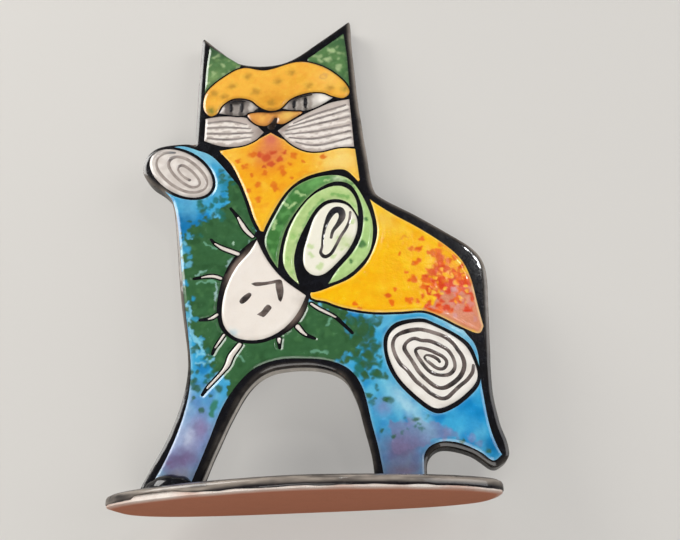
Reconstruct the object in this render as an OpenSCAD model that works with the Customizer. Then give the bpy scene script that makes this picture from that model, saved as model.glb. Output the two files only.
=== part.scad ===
// A standing cat cut from a rolled clay slab, luted onto an oval clay foot plate
// and decorated with pools of coloured glaze that are kept apart by black lines.
// X runs to the right and Z up, as seen from the painted front, which faces -Y.
// The origin is at the middle of the foot plate's underside. Units are millimetres.

/* [Clay] */
// Thickness of the cat's clay slab
slab_t = 6; // [5:0.5:9]
// Width of the foot plate, glaze included
base_w = 120; // [116:1:140]
// Depth of the foot plate in front of the cat's middle plane
base_front = 22; // [18:1:30]
// Depth of the foot plate behind the cat's middle plane
base_back = 24; // [18:1:30]

/* [Glaze] */
// Thickness of the coloured glaze pools
pool_t = 0.7; // [0.4:0.1:1.2]
// Thickness of the black lines between the pools
line_t = 0.5; // [0.3:0.1:0.7]
// Thickness of the dark glaze on the rim, the back and the foot plate
coat_t = 0.4; // [0.2:0.1:0.5]
// Width of the black line around a painted disc
line_w = 1.2; // [0.8:0.1:1.6]
// Width of the thin lines in the face
fine_line_w = 0.6; // [0.4:0.1:0.9]
// Height of a brush stroke above the pool it is painted on
stroke_t = 0.2; // [0.1:0.1:0.4]

/* [Drawing] */
// Steps that a curve takes between two of its points
curve_steps = 4; // [2:1:8]

/* [Hidden] */

// Clay height of the foot plate, where the feet stand, and where its glaze starts
base_clay_t = 4;
base_bare_h = 0.8;
foot_z = base_clay_t;
front_y = -slab_t / 2;
back_y = slab_t / 2;
black = "#15141a";
cream = "#f0ede4";

// ---- Curves ----

// Point on the smooth curve between p1 and p2, t from 0 to 1
function between(p0, p1, p2, p3, t) =
    0.5 * (2 * p1 + (p2 - p0) * t + (2 * p0 - 5 * p1 + 4 * p2 - p3) * t * t
           + (3 * p1 - p0 - 3 * p2 + p3) * t * t * t);

// Smooth open curve through p, without its last point; two points give a straight edge
function run(p) = len(p) == 2 ? [p[0]] :
    [for (i = [0:len(p) - 2], k = [0:curve_steps - 1])
        between(p[max(i - 1, 0)], p[i], p[i + 1], p[min(i + 2, len(p) - 1)], k / curve_steps)];

// The same with its last point
function path(p) = concat(run(p), [p[len(p) - 1]]);

// Smooth closed curve through p
function loop(p) = let(n = len(p))
    [for (i = [0:n - 1], k = [0:curve_steps - 1])
        between(p[(i + n - 1) % n], p[i], p[(i + 1) % n], p[(i + 2) % n], k / curve_steps)];

function unit(v) = v / norm(v);
function left_of(d) = [-d.y, d.x];
function backwards(p) = [for (i = [len(p) - 1:-1:0]) p[i]];

// Twice the enclosed area, positive where the outline runs anticlockwise
function turning(p) = let(n = len(p))
    [for (i = [0:n - 1]) p[i].x * p[(i + 1) % n].y - p[(i + 1) % n].x * p[i].y]
    * [for (i = [0:n - 1]) 1];

// Closed outline moved outwards by d
function grow(p, d) = let(n = len(p), s = -sign(turning(p)))
    [for (i = [0:n - 1])
        p[i] + s * d * left_of(unit(p[(i + 1) % n] - p[(i + n - 1) % n]))];

// ---- Brush strokes: each point holds x, z and the width there ----

function flat(p) = [p[0], p[1]];

// Direction of the stroke at its point i
function heading(p, i) = unit(flat(p[min(i + 1, len(p) - 1)]) - flat(p[max(i - 1, 0)]));

// One edge of the stroke, on its left where s is 1 and on its right where s is -1
function edge(p, extra, s) =
    [for (i = [0:len(p) - 1]) flat(p[i]) + s * (p[i][2] + extra) / 2 * left_of(heading(p, i))];

// Round end at c, from the left of direction d round to its right
function cap(c, d, r) = [for (a = [60:-30:-60]) c + r * (cos(a) * d + sin(a) * left_of(d))];

function brush_outline(points, extra) = let(p = path(points), n = len(p) - 1)
    concat(edge(p, extra, 1), cap(flat(p[n]), heading(p, n), (p[n][2] + extra) / 2),
           backwards(edge(p, extra, -1)), cap(flat(p[0]), -heading(p, 0), (p[0][2] + extra) / 2));

module brush(points, extra = 0) {
    polygon(brush_outline(points, extra));
}

// ---- Outlines on the front plane, as [x, z] ----

silhouette = concat(
    run([[-49.5, foot_z], [-46, 11.5], [-41.5, 20.5], [-38, 31], [-36.7, 40], [-37, 48],
         [-39.8, 63], [-42, 78], [-44.5, 97], [-46.5, 106], [-50, 111], [-55.5, 115.5],
         [-58.5, 120.5], [-57.5, 127], [-53, 131], [-44, 131.8], [-39.5, 131]]),
    run([[-39.5, 131], [-39.5, 181]]),
    run([[-39.5, 181], [-39.4, 182.3], [-38.7, 183], [-37.8, 182.6], [-36.9, 181.6]]),
    run([[-36.9, 181.6], [-31, 175.5], [-24, 169], [-13, 166.5], [-3, 168.5], [8, 176.5],
         [18.3, 184.7]]),
    run([[18.3, 184.7], [19.4, 185.6], [20.2, 186], [20.8, 185.4], [20.8, 184]]),
    run([[20.8, 184], [21, 175], [22.3, 150], [23.5, 135], [25, 120], [26.5, 107], [30, 102],
         [41, 94.4], [52, 86], [58, 81], [61.5, 76], [62.5, 70], [62, 60], [61, 47], [60, 31],
         [61, 20.5], [62.5, 14.5], [62.5, 10.5], [60, 8], [57, 7.5], [51.5, 11.5], [44.5, 13.7],
         [40.5, 12.8], [38.3, 9.5], [38, foot_z]]),
    run([[38, foot_z], [22.5, foot_z]]),
    run([[22.5, foot_z], [21.7, 12], [20, 20], [17.5, 30], [13.5, 37.5], [6, 41], [-4, 41.5],
         [-11, 40], [-16.5, 35.5], [-21, 28], [-25.5, 18], [-29.5, 8], [-31, foot_z]]),
    run([[-31, foot_z], [-49.5, foot_z]]));

brow = loop([[-34.5, 143.6], [-37, 148], [-35.8, 155.5], [-29, 162.3], [-22, 165.8],
             [-13, 163.8], [-2, 166.6], [4.5, 165.8], [11.5, 161.8], [17.3, 155.5],
             [19.5, 150], [17, 147.3], [12.6, 148.8], [9, 150.8], [3, 151], [-3, 148.8],
             [-7, 144.6], [-11, 143.8], [-15, 146], [-19, 149.8], [-25, 151], [-29.5, 148.2],
             [-31.5, 144.3]]);

// The ears and eyes run under the brow, and the cheeks under the eyes and the nose: each is
// cut back from the ones before it by the width of a thin line
ear_left = concat(
    run([[-36.8, 154], [-36.8, 167], [-36, 178.3]]),
    run([[-36, 178.3], [-23, 167.4]]),
    run([[-23, 167.4], [-26, 161], [-36.8, 154]]));

ear_right = concat(
    run([[19.6, 151.5], [13, 157], [3.4, 164.5]]),
    run([[3.4, 164.5], [3.6, 168]]),
    run([[3.6, 168], [18, 179.4]]),
    run([[18, 179.4], [19, 168], [19.6, 151.5]]));

eye_left = concat(
    run([[-31.6, 144.6], [-29.5, 149], [-24.5, 152], [-19, 150.5], [-15.6, 145.6]]),
    run([[-15.6, 145.6], [-18.5, 143.4], [-23, 142.5], [-31.6, 144.6]]));

eye_right = concat(
    run([[-6.6, 144.6], [-3, 149.5], [2, 152], [8, 151.8], [13.2, 147.9]]),
    run([[13.2, 147.9], [8, 144.5], [3, 142.8], [-2, 143.2], [-6.6, 144.6]]));

nose = loop([[-19.4, 142.9], [-18.6, 140.4], [-15.6, 137.6], [-12.4, 136.9], [-10, 138.2],
             [-7.6, 137.4], [-5.4, 137.4], [-2, 139.5], [1.4, 142], [-2, 142.7], [-6, 143.2],
             [-11, 142.9], [-15, 143.4]]);

cheek_left = concat(
    run([[-35.8, 142.3], [-30, 142.8], [-24, 142.2], [-20, 141.2], [-17, 138.5], [-13.2, 134]]),
    run([[-13.2, 134], [-16.5, 130.6], [-22, 128.5], [-29, 129], [-35.8, 132]]),
    run([[-35.8, 132], [-35.8, 142.3]]));

cheek_right = concat(
    run([[-8, 134.2], [-5, 136.6], [1, 140.4], [7, 143.3], [12.5, 145.6], [19.3, 146.6]]),
    run([[19.3, 146.6], [20.4, 124.6]]),
    run([[20.4, 124.6], [14.5, 124.8], [8, 123.6], [2.5, 124.4], [-3, 128], [-8, 134.2]]));

chest = concat(
    run([[-29.7, 127], [-25, 127.6], [-19, 129], [-10.6, 133.6]]),
    run([[-10.6, 133.6], [-5, 129.5], [3, 124.6], [9, 123.8], [14.5, 124.6], [20.7, 123.6]]),
    run([[20.7, 123.6], [21.9, 110]]),
    run([[21.9, 110], [0, 90], [-13.6, 91.8]]),
    run([[-13.6, 91.8], [-16, 97], [-18.5, 105], [-21.5, 113], [-25, 120.5], [-29.7, 126.6]]));

// Outer edge of the black line round the haunch
haunch_edge = loop([[-13.3, 88.5], [-9.2, 99.2], [-4, 107.8], [2, 112.6], [9, 114.6],
                    [16, 115], [20, 111.3], [24.3, 104], [26.6, 95.5], [27, 87], [23.6, 78],
                    [18, 72], [11.5, 69], [4.3, 67], [-1, 69.6], [-7, 76.3], [-11, 82.5]]);

// Dark green round the outside, open at the lower left
haunch_outer = concat(
    run([[-7.3, 76.8], [-10.3, 82], [-12, 88.4], [-8.8, 97.2], [-3.3, 107], [3, 111.4],
         [10, 112.9], [16, 112], [20.2, 108], [24, 99.5], [25.7, 91], [24.3, 81.5],
         [19.5, 75], [14.5, 71.4], [9.8, 69.8]]),
    run([[9.8, 69.8], [13, 74.8], [18.5, 81.3], [21.8, 88.5], [22.4, 98], [19.6, 106.8],
         [15.5, 109.8], [10.5, 109.4], [4.5, 105.5], [-1, 98.8], [-4.8, 91.5], [-6.7, 83.5],
         [-7.3, 76.8]]));

// Pale green inside it, a crescent that thins out at the right
haunch_ring = concat(
    run([[0, 70.2], [-3.3, 73.8], [-5.4, 78.5], [-5.2, 85], [-3, 93], [1, 100.4],
         [6, 105.6], [12.5, 108.2], [17.3, 106.8], [20.2, 102], [20.9, 95]]),
    run([[20.9, 95], [18, 100.3], [14, 102.6], [9.5, 102.2], [5.8, 99], [2.4, 93],
         [-0.4, 86.5], [-1.7, 80.5], [-1.3, 75], [0, 70.2]]));

haunch_core = loop([[12.3, 101.3], [8.6, 99.9], [5.4, 95.7], [3.2, 89], [1.5, 82], [1.9, 76.5],
                    [4.8, 73.4], [8.5, 73.6], [13, 77.5], [17.3, 82.7], [20.1, 89], [20.1, 95],
                    [17, 99.9]]);

rump = concat(
    run([[23.5, 103.5], [26.5, 100.4], [33, 95], [41, 89.2], [49.3, 82.2], [54.5, 76],
         [57, 69], [58.2, 60], [59.3, 51.5]]),
    run([[59.3, 51.5], [57.4, 49.3], [52, 52], [46, 55.8], [40.5, 58.2], [33, 58.2],
         [24, 58.7], [15, 60.8], [9.5, 63.2], [3.8, 66.6], [14, 80], [23.5, 103.5]]));

sun = concat(
    run([[-14.8, 88.3], [-12, 82], [-8.5, 76.3], [-4, 71.2], [2.3, 66]]),
    run([[2.3, 66], [0.6, 62], [-2, 57.8], [-6, 54], [-11, 51.6], [-16, 51.2],
         [-21, 52.5], [-24.7, 56.3], [-26, 62], [-25, 70.3], [-21.8, 78], [-17.3, 83.7],
         [-14.8, 88.3]]));

// Each ray is white as far as it has a width, and its black line runs on to its tip
ray_whites = [
    [[-16.3, 89.7, 0.9], [-18.6, 92.2, 1.3], [-20.3, 95, 1.2], [-21.7, 97.7, 0.6]],
    [[-21.2, 83.2, 1.2], [-24, 84.5, 1.3], [-27, 86, 1.1], [-29.5, 87.8, 0.5]],
    [[-26.8, 74.2, 0.9], [-29, 75.1, 1], [-31.5, 75.3, 0.8], [-33.5, 75, 0.4]],
    [[-27.5, 60.9, 0.9], [-28.8, 60, 0.9], [-30.3, 59.5, 0.5]],
    [[-24.9, 53.5, 0.8], [-26.5, 51, 0.7], [-27.6, 49.3, 0.4]],
    [[-19.6, 49.8, 1.4], [-22.2, 46.2, 1.7], [-23.3, 43.2, 1.5], [-24.8, 41, 0.9],
     [-27, 38.5, 0.8], [-29.5, 35.8, 0.6]],
    [[-6.6, 51, 1.2], [-6.5, 49.8, 0.6]],
    [[-0.5, 55, 1.5], [0.8, 53.3, 1.1], [2.3, 51.9, 0.5]],
    [[4, 62.9, 0.7], [6.5, 61, 0.9], [9.5, 59.2, 0.8], [12, 57.6, 0.5]]];
ray_tips = [[-24.5, 101.7], [-31, 89.5], [-36.2, 74.7], [-33.2, 59.3], [-28.4, 47.2],
            [-31, 33.6], [-6.4, 48], [5, 50.6], [17.3, 51.8]];
ray_line_w = 1;

// Strokes along the sun's edge, where the black line beside the coat is broader
sun_broad_lines = [
    [[-16, 87.4, 1.8], [-19, 83.2, 3.8], [-22, 78.6, 4.6], [-24.5, 73.3, 3.8], [-25.7, 67.5, 3.6],
     [-26, 62, 3.4], [-24.7, 56.4, 3], [-21, 52.6, 2.4]],
    [[-11, 51.6, 2.4], [-6, 54, 3.4], [-2, 57.8, 4.4], [0.6, 62, 4], [2.2, 65.6, 2.6]]];

// The coat runs behind the other pools, which are cut out of it
coat = concat(
    run([[-50, 129.8], [-44, 130.3], [-38, 127.9], [-33, 125.2], [-28, 119.5], [-20, 108]]),
    run([[-20, 108], [0, 88], [30, 66], [52, 52]]),
    run([[52, 52], [54, 48.9], [55.8, 46], [56.6, 42.5], [56.6, 38], [56.7, 31], [57.6, 20],
         [59, 14], [60.3, 10.8]]),
    run([[60.3, 10.8], [57.5, 9.2], [54, 11.9], [48.5, 14.7], [43.5, 15.5], [39.7, 14.4],
         [37.7, 12.2], [37.2, 9.5], [37, foot_z + 1]]),
    run([[37, foot_z + 1], [25.3, foot_z + 1]]),
    run([[25.3, foot_z + 1], [24, 14], [22.3, 22], [20, 33], [16, 39.5], [9.5, 42.8], [1.5, 44],
         [-7, 44], [-14.5, 41.5], [-20, 36.3], [-24.5, 29], [-28.3, 18.5], [-31.7, 9.5],
         [-33.3, foot_z + 1.5]]),
    run([[-33.3, foot_z + 1.5], [-45.4, foot_z + 1.5]]),
    run([[-45.4, foot_z + 1.5], [-41.2, 14], [-37.5, 24], [-35.4, 34], [-35.4, 44],
         [-37.3, 57], [-39.7, 71], [-42, 88], [-43.8, 99], [-46, 106.5], [-49.5, 111.3]]),
    run([[-49.5, 111.3], [-44, 118]]),
    run([[-44, 118], [-50, 129.8]]));

// Where the paler band of the coat ends against the hind disc's black line
hind_edge = loop([[27.1, 47], [28.2, 51.3], [32, 54.7], [39.5, 55.5], [44, 53.6], [50.5, 49.5],
                  [54.3, 45.8], [56, 41], [56.8, 35.5], [55.3, 31.5], [51, 27.6], [47, 25.2],
                  [43, 24], [39.5, 25.4], [34.5, 30], [30.5, 35], [28, 40.5]]);
hind = loop([[28.3, 46], [29.3, 50.6], [33, 53.4], [39.5, 54.2], [44, 52.4], [49.7, 48.6],
             [53.2, 45], [54.9, 40.8], [55.8, 36], [54.5, 32.6], [50.4, 28.9], [46.5, 26.6],
             [43, 25.6], [40.2, 26.6], [35.6, 30.8], [31.6, 35.7], [29.2, 41]]);

// Tilted oval
shoulder_centre = [-43.8, 118.4];
shoulder_half = [14.4, 8];
shoulder_tilt = -40;
function shoulder_radius(a) =
    1 / norm([cos(a - shoulder_tilt) / shoulder_half.x, sin(a - shoulder_tilt) / shoulder_half.y]);
function shoulder_outline(extra) = [for (a = [0:7.5:352.5])
    shoulder_centre + (shoulder_radius(a) + extra) * [cos(a), sin(a)]];

// The two spirals run from the outside inwards, drawn by hand and so a little uneven
hind_turns = [
    [54.8, 38.6, 1], [54.2, 36.3, 1.2], [52.3, 34, 1.2], [50, 32.3, 1.2], [48, 30.6, 1.2],
    [46, 28.9, 1.3], [44.4, 28.5, 1.2], [42.7, 29.1, 1.2], [40.3, 30.8, 1.2], [38.6, 32.6, 1.2],
    [36.7, 34.4, 1.3], [35.3, 36.4, 1.3], [34, 38.3, 1.2], [32.3, 40.1, 1.2], [31.1, 42.4, 1.2],
    [30.3, 44.8, 1.2], [30.1, 47, 1.2], [30.7, 48.9, 1.1], [32, 50.2, 1.2], [34, 51, 1.5],
    [36.4, 51.5, 1.5], [39, 51.6, 1.3], [41.4, 51, 1.3], [43.4, 50.2, 1.3], [45.7, 49.2, 1.3],
    [47.7, 47.8, 1.3], [49.3, 46, 1.2], [50.4, 44, 1.2], [51.5, 42, 1.3], [52, 39.8, 1.4],
    [51.7, 37.7, 1.4], [50.6, 35.6, 1.5], [49, 34, 1.5], [47.2, 32.8, 1.5], [45.5, 32, 1.4],
    [43.9, 31.9, 1.2], [42.3, 32.6, 1.3], [40.6, 34.1, 1.3], [39, 35.8, 1.3], [37.5, 37.8, 1.3],
    [36.5, 39.8, 1.3], [35.5, 41.8, 1.2], [34.4, 43.7, 1.3], [33.7, 45.4, 1.4], [34.2, 47, 1.1],
    [35.6, 48.2, 1.2], [37.3, 48.6, 1.2], [39.3, 47.8, 1.2], [41.7, 47.5, 1.3], [43.7, 46.6, 1.3],
    [45.6, 45.4, 1.2], [47.2, 44.2, 1.2], [48.4, 42.3, 1.1], [49, 40.3, 1.1], [49, 38.4, 1.1],
    [48.1, 36.9, 1.3], [46.6, 36, 1.2], [44.3, 36, 1.1], [42.3, 36.6, 1.2], [40.7, 37.8, 1.2],
    [39.5, 39.4, 1.2], [38.4, 41.3, 1.2], [37.5, 43.1, 1.1], [37.2, 44.6, 1], [38.3, 45.3, 1],
    [40, 45, 1.1], [42, 44.2, 1.2], [43.7, 43.2, 1.2], [45.6, 42, 1.1], [46.6, 40.4, 1.1],
    [46.2, 38.8, 1.1], [45, 38, 1.1], [43.3, 38.4, 1.1], [41.7, 39.8, 1.1], [40.4, 41.1, 0.9],
    [39.8, 42.1, 0.7], [40.6, 42.8, 0.7], [42.6, 42.2, 1.1], [43.9, 41.2, 1.1], [44.4, 40.4, 0.9]];
shoulder_turns = [
    [-46.5, 127.4, 0.8], [-50, 127.6, 1.3], [-52.5, 126.2, 1.2], [-53.4, 123.8, 1.1],
    [-52.6, 120.6, 1.1], [-50.5, 117.3, 1.2], [-47.5, 114.1, 1.2], [-44, 111.4, 1.2],
    [-40.5, 109.7, 1.2], [-37, 109.4, 1.2], [-34.4, 110.7, 1.1], [-33.7, 113, 1.1],
    [-34.6, 116, 1.2], [-36.8, 119.3, 1.2], [-39.5, 122.2, 1.2], [-42.4, 124.4, 1.3],
    [-45.5, 125.5, 1.3], [-47.9, 124.8, 1.6], [-48.7, 122.9, 1.4], [-48, 120.4, 1.2],
    [-46.3, 117.7, 1.1], [-44, 115.1, 1.1], [-41.5, 112.9, 1.1], [-39, 111.6, 1.1],
    [-37, 111.9, 1], [-36.4, 113.4, 1], [-37.3, 115.6, 1], [-39.2, 118.1, 1.1],
    [-41.2, 120.1, 1.1], [-43.1, 121.4, 1.2], [-44.6, 121.2, 1.2], [-44.9, 119.8, 0.9],
    [-43.8, 117.9, 0.9], [-42, 116, 1], [-40.2, 114.8, 1.2]];

sun_brow_and_nose = concat(
    run([[-16.3, 71.4], [-14.8, 71.9], [-12, 71.8], [-9.5, 72], [-7.2, 72.4], [-6, 72.1],
         [-5.5, 70.5], [-5.2, 68], [-5.5, 65.6], [-6.1, 64.1]]),
    run([[-6.1, 64.1], [-6.9, 64.9], [-7.4, 67], [-7.9, 69.5], [-8, 71.1]]),
    run([[-8, 71.1], [-10.5, 70.7], [-14.4, 70.4], [-16.3, 71.4]]));
sun_mouth = run([[-14.1, 60.1], [-12.6, 59.3], [-11.6, 59.1], [-9.8, 61.1], [-9.2, 62.3],
                 [-10.4, 63.4], [-11.6, 62.5], [-12.5, 61.2], [-14.1, 60.1]]);

// Black knots where three lines meet, as [x, z, diameter]
knots = [[-13.9, 90.4, 3.4], [-13.6, 88.3, 1.8], [-7.5, 77, 1], [3.2, 66.5, 3.2]];

// ---- Shapes of the pools ----

module rays(extra) {
    for (i = [0:len(ray_whites) - 1])
        brush(extra == 0 ? ray_whites[i]
                         : concat(ray_whites[i], [[ray_tips[i].x, ray_tips[i].y, 0]]), extra);
}

module line_knots() {
    for (k = knots)
        translate([k[0], k[1]]) circle(d = k[2], $fn = 24);
}

module ear_shape(outline) {
    difference() {
        polygon(outline);
        polygon(grow(brow, fine_line_w));
    }
}

module eye_shape(outline) {
    difference() {
        polygon(outline);
        polygon(grow(brow, fine_line_w));
        polygon(grow(nose, fine_line_w));
    }
}

module nose_spot_shape() {
    brush([[-8.8, 139.8, 1.4], [-9.3, 138.2, 2.1], [-10.3, 136.3, 3]]);
}

module nose_shape() {
    difference() {
        polygon(nose);
        nose_spot_shape();
    }
}

module cheek_shape(outline, eye) {
    difference() {
        polygon(outline);
        polygon(grow(brow, fine_line_w));
        polygon(grow(eye, fine_line_w));
        polygon(grow(nose, fine_line_w));
    }
}

module chest_shape() {
    difference() {
        polygon(chest);
        polygon(grow(cheek_left, fine_line_w));
        polygon(grow(cheek_right, fine_line_w));
        polygon(haunch_edge);
    }
}

module rump_shape() {
    difference() {
        polygon(rump);
        polygon(haunch_edge);
    }
}

module coat_shape() {
    difference() {
        polygon(coat);
        polygon(grow(chest, line_w));
        polygon(haunch_edge);
        polygon(grow(rump, line_w * 0.7));
        polygon(grow(sun, line_w));
        polygon(shoulder_outline(line_w));
        polygon(hind_edge);
        rays(ray_line_w);
        for (line = sun_broad_lines) brush(line);
        line_knots();
    }
}

// ---- Solids from drawings ----

// Stands a drawing up facing the front, from y0 towards the front by t
module to_front(t, y0 = front_y) {
    translate([0, y0, 0]) rotate([90, 0, 0]) linear_extrude(t) children();
}

module pool(colour) {
    color(colour) to_front(pool_t) children();
}

module marks(colour) {
    color(colour) to_front(stroke_t, front_y - pool_t) children();
}

// ---- Clay ----

// The slab inside its glaze, except that its feet stand straight on the foot plate's clay
module clay_shape() {
    polygon([for (q = grow(silhouette, -coat_t)) q.y < foot_z + 1.5 * coat_t ? [q.x, foot_z] : q]);
}

module clay_body() {
    color("#a5634a") to_front(slab_t, back_y) clay_shape();
}

// Oval with a pointed front half and a squarer back half
front_power = 1.25;
back_power = 0.6;
function base_outline(extra) = [for (a = [0:5:355])
    let(c = cos(a), s = sin(a), bend = s < 0 ? front_power : back_power,
        depth = (s < 0 ? base_front : base_back) + extra)
    [(base_w / 2 + extra) * sign(c) * pow(abs(c), bend), depth * sign(s) * pow(abs(s), bend)]];

module base_slab() {
    color("#9e6650") linear_extrude(base_clay_t) polygon(base_outline(-coat_t));
}

// Glaze over the foot plate's top and edge, open where the feet pass through
module base_glaze() {
    color("#1d1b20") difference() {
        translate([0, 0, base_bare_h])
            linear_extrude(base_clay_t + coat_t - base_bare_h) polygon(base_outline(0));
        linear_extrude(base_clay_t) polygon(base_outline(-coat_t));
        to_front(slab_t + pool_t + coat_t, back_y + coat_t) polygon(silhouette);
    }
}

// Hollow corner profile, its corner at the origin, leaning towards -X
function fillet(size) = concat([[0, 0]], [for (a = [0:15:90]) -size * [1 - sin(a), cos(a) - 1]]);

// Slip worked into the corner between a foot and the foot plate, front and back
module foot_slips(x0, x1, front_size, back_size) {
    color("#1d1b20") translate([x0, 0, base_clay_t + coat_t]) rotate([90, 0, 90]) {
        translate([front_y - pool_t, 0]) linear_extrude(x1 - x0) polygon(fillet(front_size));
        translate([back_y + coat_t, 0]) linear_extrude(x1 - x0)
            mirror([1, 0]) polygon(fillet(back_size));
    }
}

module front_foot_slip() {
    foot_slips(-46.5, -32, 5, 2.5);
}

module hind_foot_slip() {
    foot_slips(23.5, 37, 1.6, 2.5);
}

// ---- Dark glaze and black lines ----

module back_glaze() {
    color("#1d1b20") to_front(coat_t, back_y + coat_t) polygon(silhouette);
}

module rim_glaze() {
    color("#1d1b20") to_front(slab_t, back_y) difference() {
        polygon(silhouette);
        clay_shape();
    }
}

// Every part of the front that no pool covers
module line_work() {
    color(black) to_front(line_t) difference() {
        polygon(silhouette);
        ear_shape(ear_left);
        ear_shape(ear_right);
        polygon(brow);
        eye_shape(eye_left);
        eye_shape(eye_right);
        nose_shape();
        nose_spot_shape();
        cheek_shape(cheek_left, eye_left);
        cheek_shape(cheek_right, eye_right);
        chest_shape();
        polygon(haunch_outer);
        polygon(haunch_ring);
        polygon(haunch_core);
        rump_shape();
        polygon(sun);
        polygon(shoulder_outline(0));
        polygon(hind);
        coat_shape();
        rays(0);
    }
}

// ---- Head ----

module ear_left_field() {
    pool("#1f6b35") ear_shape(ear_left);
}

module ear_right_field() {
    pool("#1f6b35") ear_shape(ear_right);
}

module brow_field() {
    pool("#f09a1e") polygon(brow);
}

module eye_left_field() {
    pool("#c9c4bd") eye_shape(eye_left);
}

module eye_right_field() {
    pool("#e6e3de") eye_shape(eye_right);
}

module pupil_left() {
    marks(black) {
        brush([[-27, 149.1, 0.9], [-24, 149.8, 1.2], [-20.8, 149.1, 0.9]]);
        brush([[-26.2, 147.7, 1.1], [-26, 144.7, 0.8]]);
        brush([[-22, 147.8, 1.1], [-21.8, 144.2, 0.8]]);
    }
}

module pupil_right() {
    marks(black) {
        brush([[-1.2, 148.7, 0.9], [1.6, 149.7, 1.2], [4.8, 149.9, 0.9]]);
        brush([[-1.7, 147.2, 1.1], [-1.9, 144.4, 0.8]]);
        brush([[2.6, 148, 1.1], [2.6, 144.2, 0.9]]);
    }
}

module nose_field() {
    pool("#ee8c1c") nose_shape();
}

module nose_spot() {
    pool(black) nose_spot_shape();
}

module cheek_left_field() {
    pool("#d8d3cb") cheek_shape(cheek_left, eye_left);
}

module cheek_right_field() {
    pool("#d8d3cb") cheek_shape(cheek_right, eye_right);
}

// Grey strokes that fan out across both cheeks from beside the nose
whisker_w = [0.5, 0.9, 0.8];
whisker_paths = [
    [[-19.8, 138], [-27, 140.2], [-34.6, 140]], [[-18.3, 135.9], [-27, 137.3], [-34.8, 137.6]],
    [[-17.2, 134], [-26, 134.3], [-34.8, 135.1]], [[-18, 132], [-26, 131.6], [-34.6, 132.9]],
    [[-2, 136.9], [6, 140.3], [17.8, 143.7]], [[-4, 135.3], [6, 138], [18.6, 141.4]],
    [[-5, 133.8], [6, 135.7], [18.9, 138.2]], [[-4.9, 132.2], [6, 132.5], [19, 134.3]],
    [[-3.6, 130.6], [6, 129.3], [19.2, 131.6]], [[-1, 128.2], [7, 126.2], [19.3, 128.6]]];
module whiskers() {
    marks("#6d6a6a") for (p = whisker_paths)
        brush([for (i = [0:2]) [p[i].x, p[i].y, whisker_w[i]]]);
}

// ---- Body ----

module chest_field() {
    pool("#f6b42a") chest_shape();
}

module coat_field() {
    pool("#2a8fc0") coat_shape();
}

module rump_field() {
    pool("#f2a63a") rump_shape();
}

module shoulder_disc() {
    pool("#e9e6df") polygon(shoulder_outline(0));
}

module shoulder_spiral() {
    marks("#7f7c7a")
        brush(shoulder_turns);
}

module haunch_outer_field() {
    pool("#2c7a3c") polygon(haunch_outer);
}

module haunch_ring_field() {
    pool("#8cc266") polygon(haunch_ring);
}

module haunch_core_field() {
    pool("#eef0e2") polygon(haunch_core);
}

// One looped stroke: up the middle, over a thick head, down the left and round to the right
module haunch_swirl() {
    marks(black)
        brush([[11.2, 87.2, 1], [11.9, 89.8, 1.2], [13.9, 92.6, 1.8], [15.2, 95.3, 2.4],
               [14.7, 97.7, 2.6], [12.7, 98, 2.5], [10.9, 96, 2.1], [9.4, 92.4, 1.4],
               [8.4, 88, 1], [8, 84, 0.9], [7.5, 81.6, 1.1], [8.9, 80, 1.4],
               [11, 81, 1.2], [12.8, 84, 1.1], [14.5, 87.4, 1.1], [16.5, 90.6, 1.1],
               [17.7, 93.6, 1], [18.1, 96.8, 0.9]]);
}

module sun_disc() {
    pool(cream) polygon(sun);
}

module sun_rays() {
    pool(cream) rays(0);
}

module sun_face_marks() {
    marks("#3a2c26") {
        polygon(sun_brow_and_nose);
        brush([[-19.1, 65.2, 2], [-16.9, 67.3, 1.7]]);
        polygon(sun_mouth);
    }
}

module hind_disc() {
    pool(cream) polygon(hind);
}

module hind_spiral() {
    marks("#2b2523") brush(hind_turns);
}

clay_body();
base_slab();
base_glaze();
back_glaze();
rim_glaze();
line_work();
front_foot_slip();
hind_foot_slip();
ear_left_field();
ear_right_field();
brow_field();
eye_left_field();
eye_right_field();
pupil_left();
pupil_right();
nose_field();
nose_spot();
cheek_left_field();
cheek_right_field();
whiskers();
chest_field();
coat_field();
shoulder_disc();
shoulder_spiral();
haunch_outer_field();
haunch_ring_field();
haunch_core_field();
haunch_swirl();
rump_field();
sun_disc();
sun_rays();
sun_face_marks();
hind_disc();
hind_spiral();
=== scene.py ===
import math
import random

import bmesh
import bpy
import numpy as np
from mathutils import Euler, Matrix, Vector, kdtree, noise
from mathutils.geometry import delaunay_2d_cdt


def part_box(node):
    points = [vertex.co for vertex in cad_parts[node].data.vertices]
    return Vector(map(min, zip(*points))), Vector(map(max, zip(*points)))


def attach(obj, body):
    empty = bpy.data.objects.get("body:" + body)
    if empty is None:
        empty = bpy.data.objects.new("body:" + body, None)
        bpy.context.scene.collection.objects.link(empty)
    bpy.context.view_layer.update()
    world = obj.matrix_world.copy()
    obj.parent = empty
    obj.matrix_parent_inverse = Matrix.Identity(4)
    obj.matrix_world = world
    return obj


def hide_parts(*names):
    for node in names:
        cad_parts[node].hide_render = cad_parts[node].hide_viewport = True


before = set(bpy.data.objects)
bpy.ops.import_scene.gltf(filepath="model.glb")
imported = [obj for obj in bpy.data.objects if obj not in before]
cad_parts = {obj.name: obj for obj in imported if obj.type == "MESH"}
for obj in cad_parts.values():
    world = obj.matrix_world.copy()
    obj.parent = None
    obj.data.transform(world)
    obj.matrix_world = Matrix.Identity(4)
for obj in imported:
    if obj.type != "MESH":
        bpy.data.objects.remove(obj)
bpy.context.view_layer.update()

# Lengths below are in millimetres in the frame's own axes: the painted front faces -Y.
MM = 0.001
CLAY_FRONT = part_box("clay_body")[0].y / MM
CLAY_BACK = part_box("clay_body")[1].y / MM
LINE = CLAY_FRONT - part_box("line_work")[0].y / MM
POOL = CLAY_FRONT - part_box("rump_field")[0].y / MM
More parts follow.
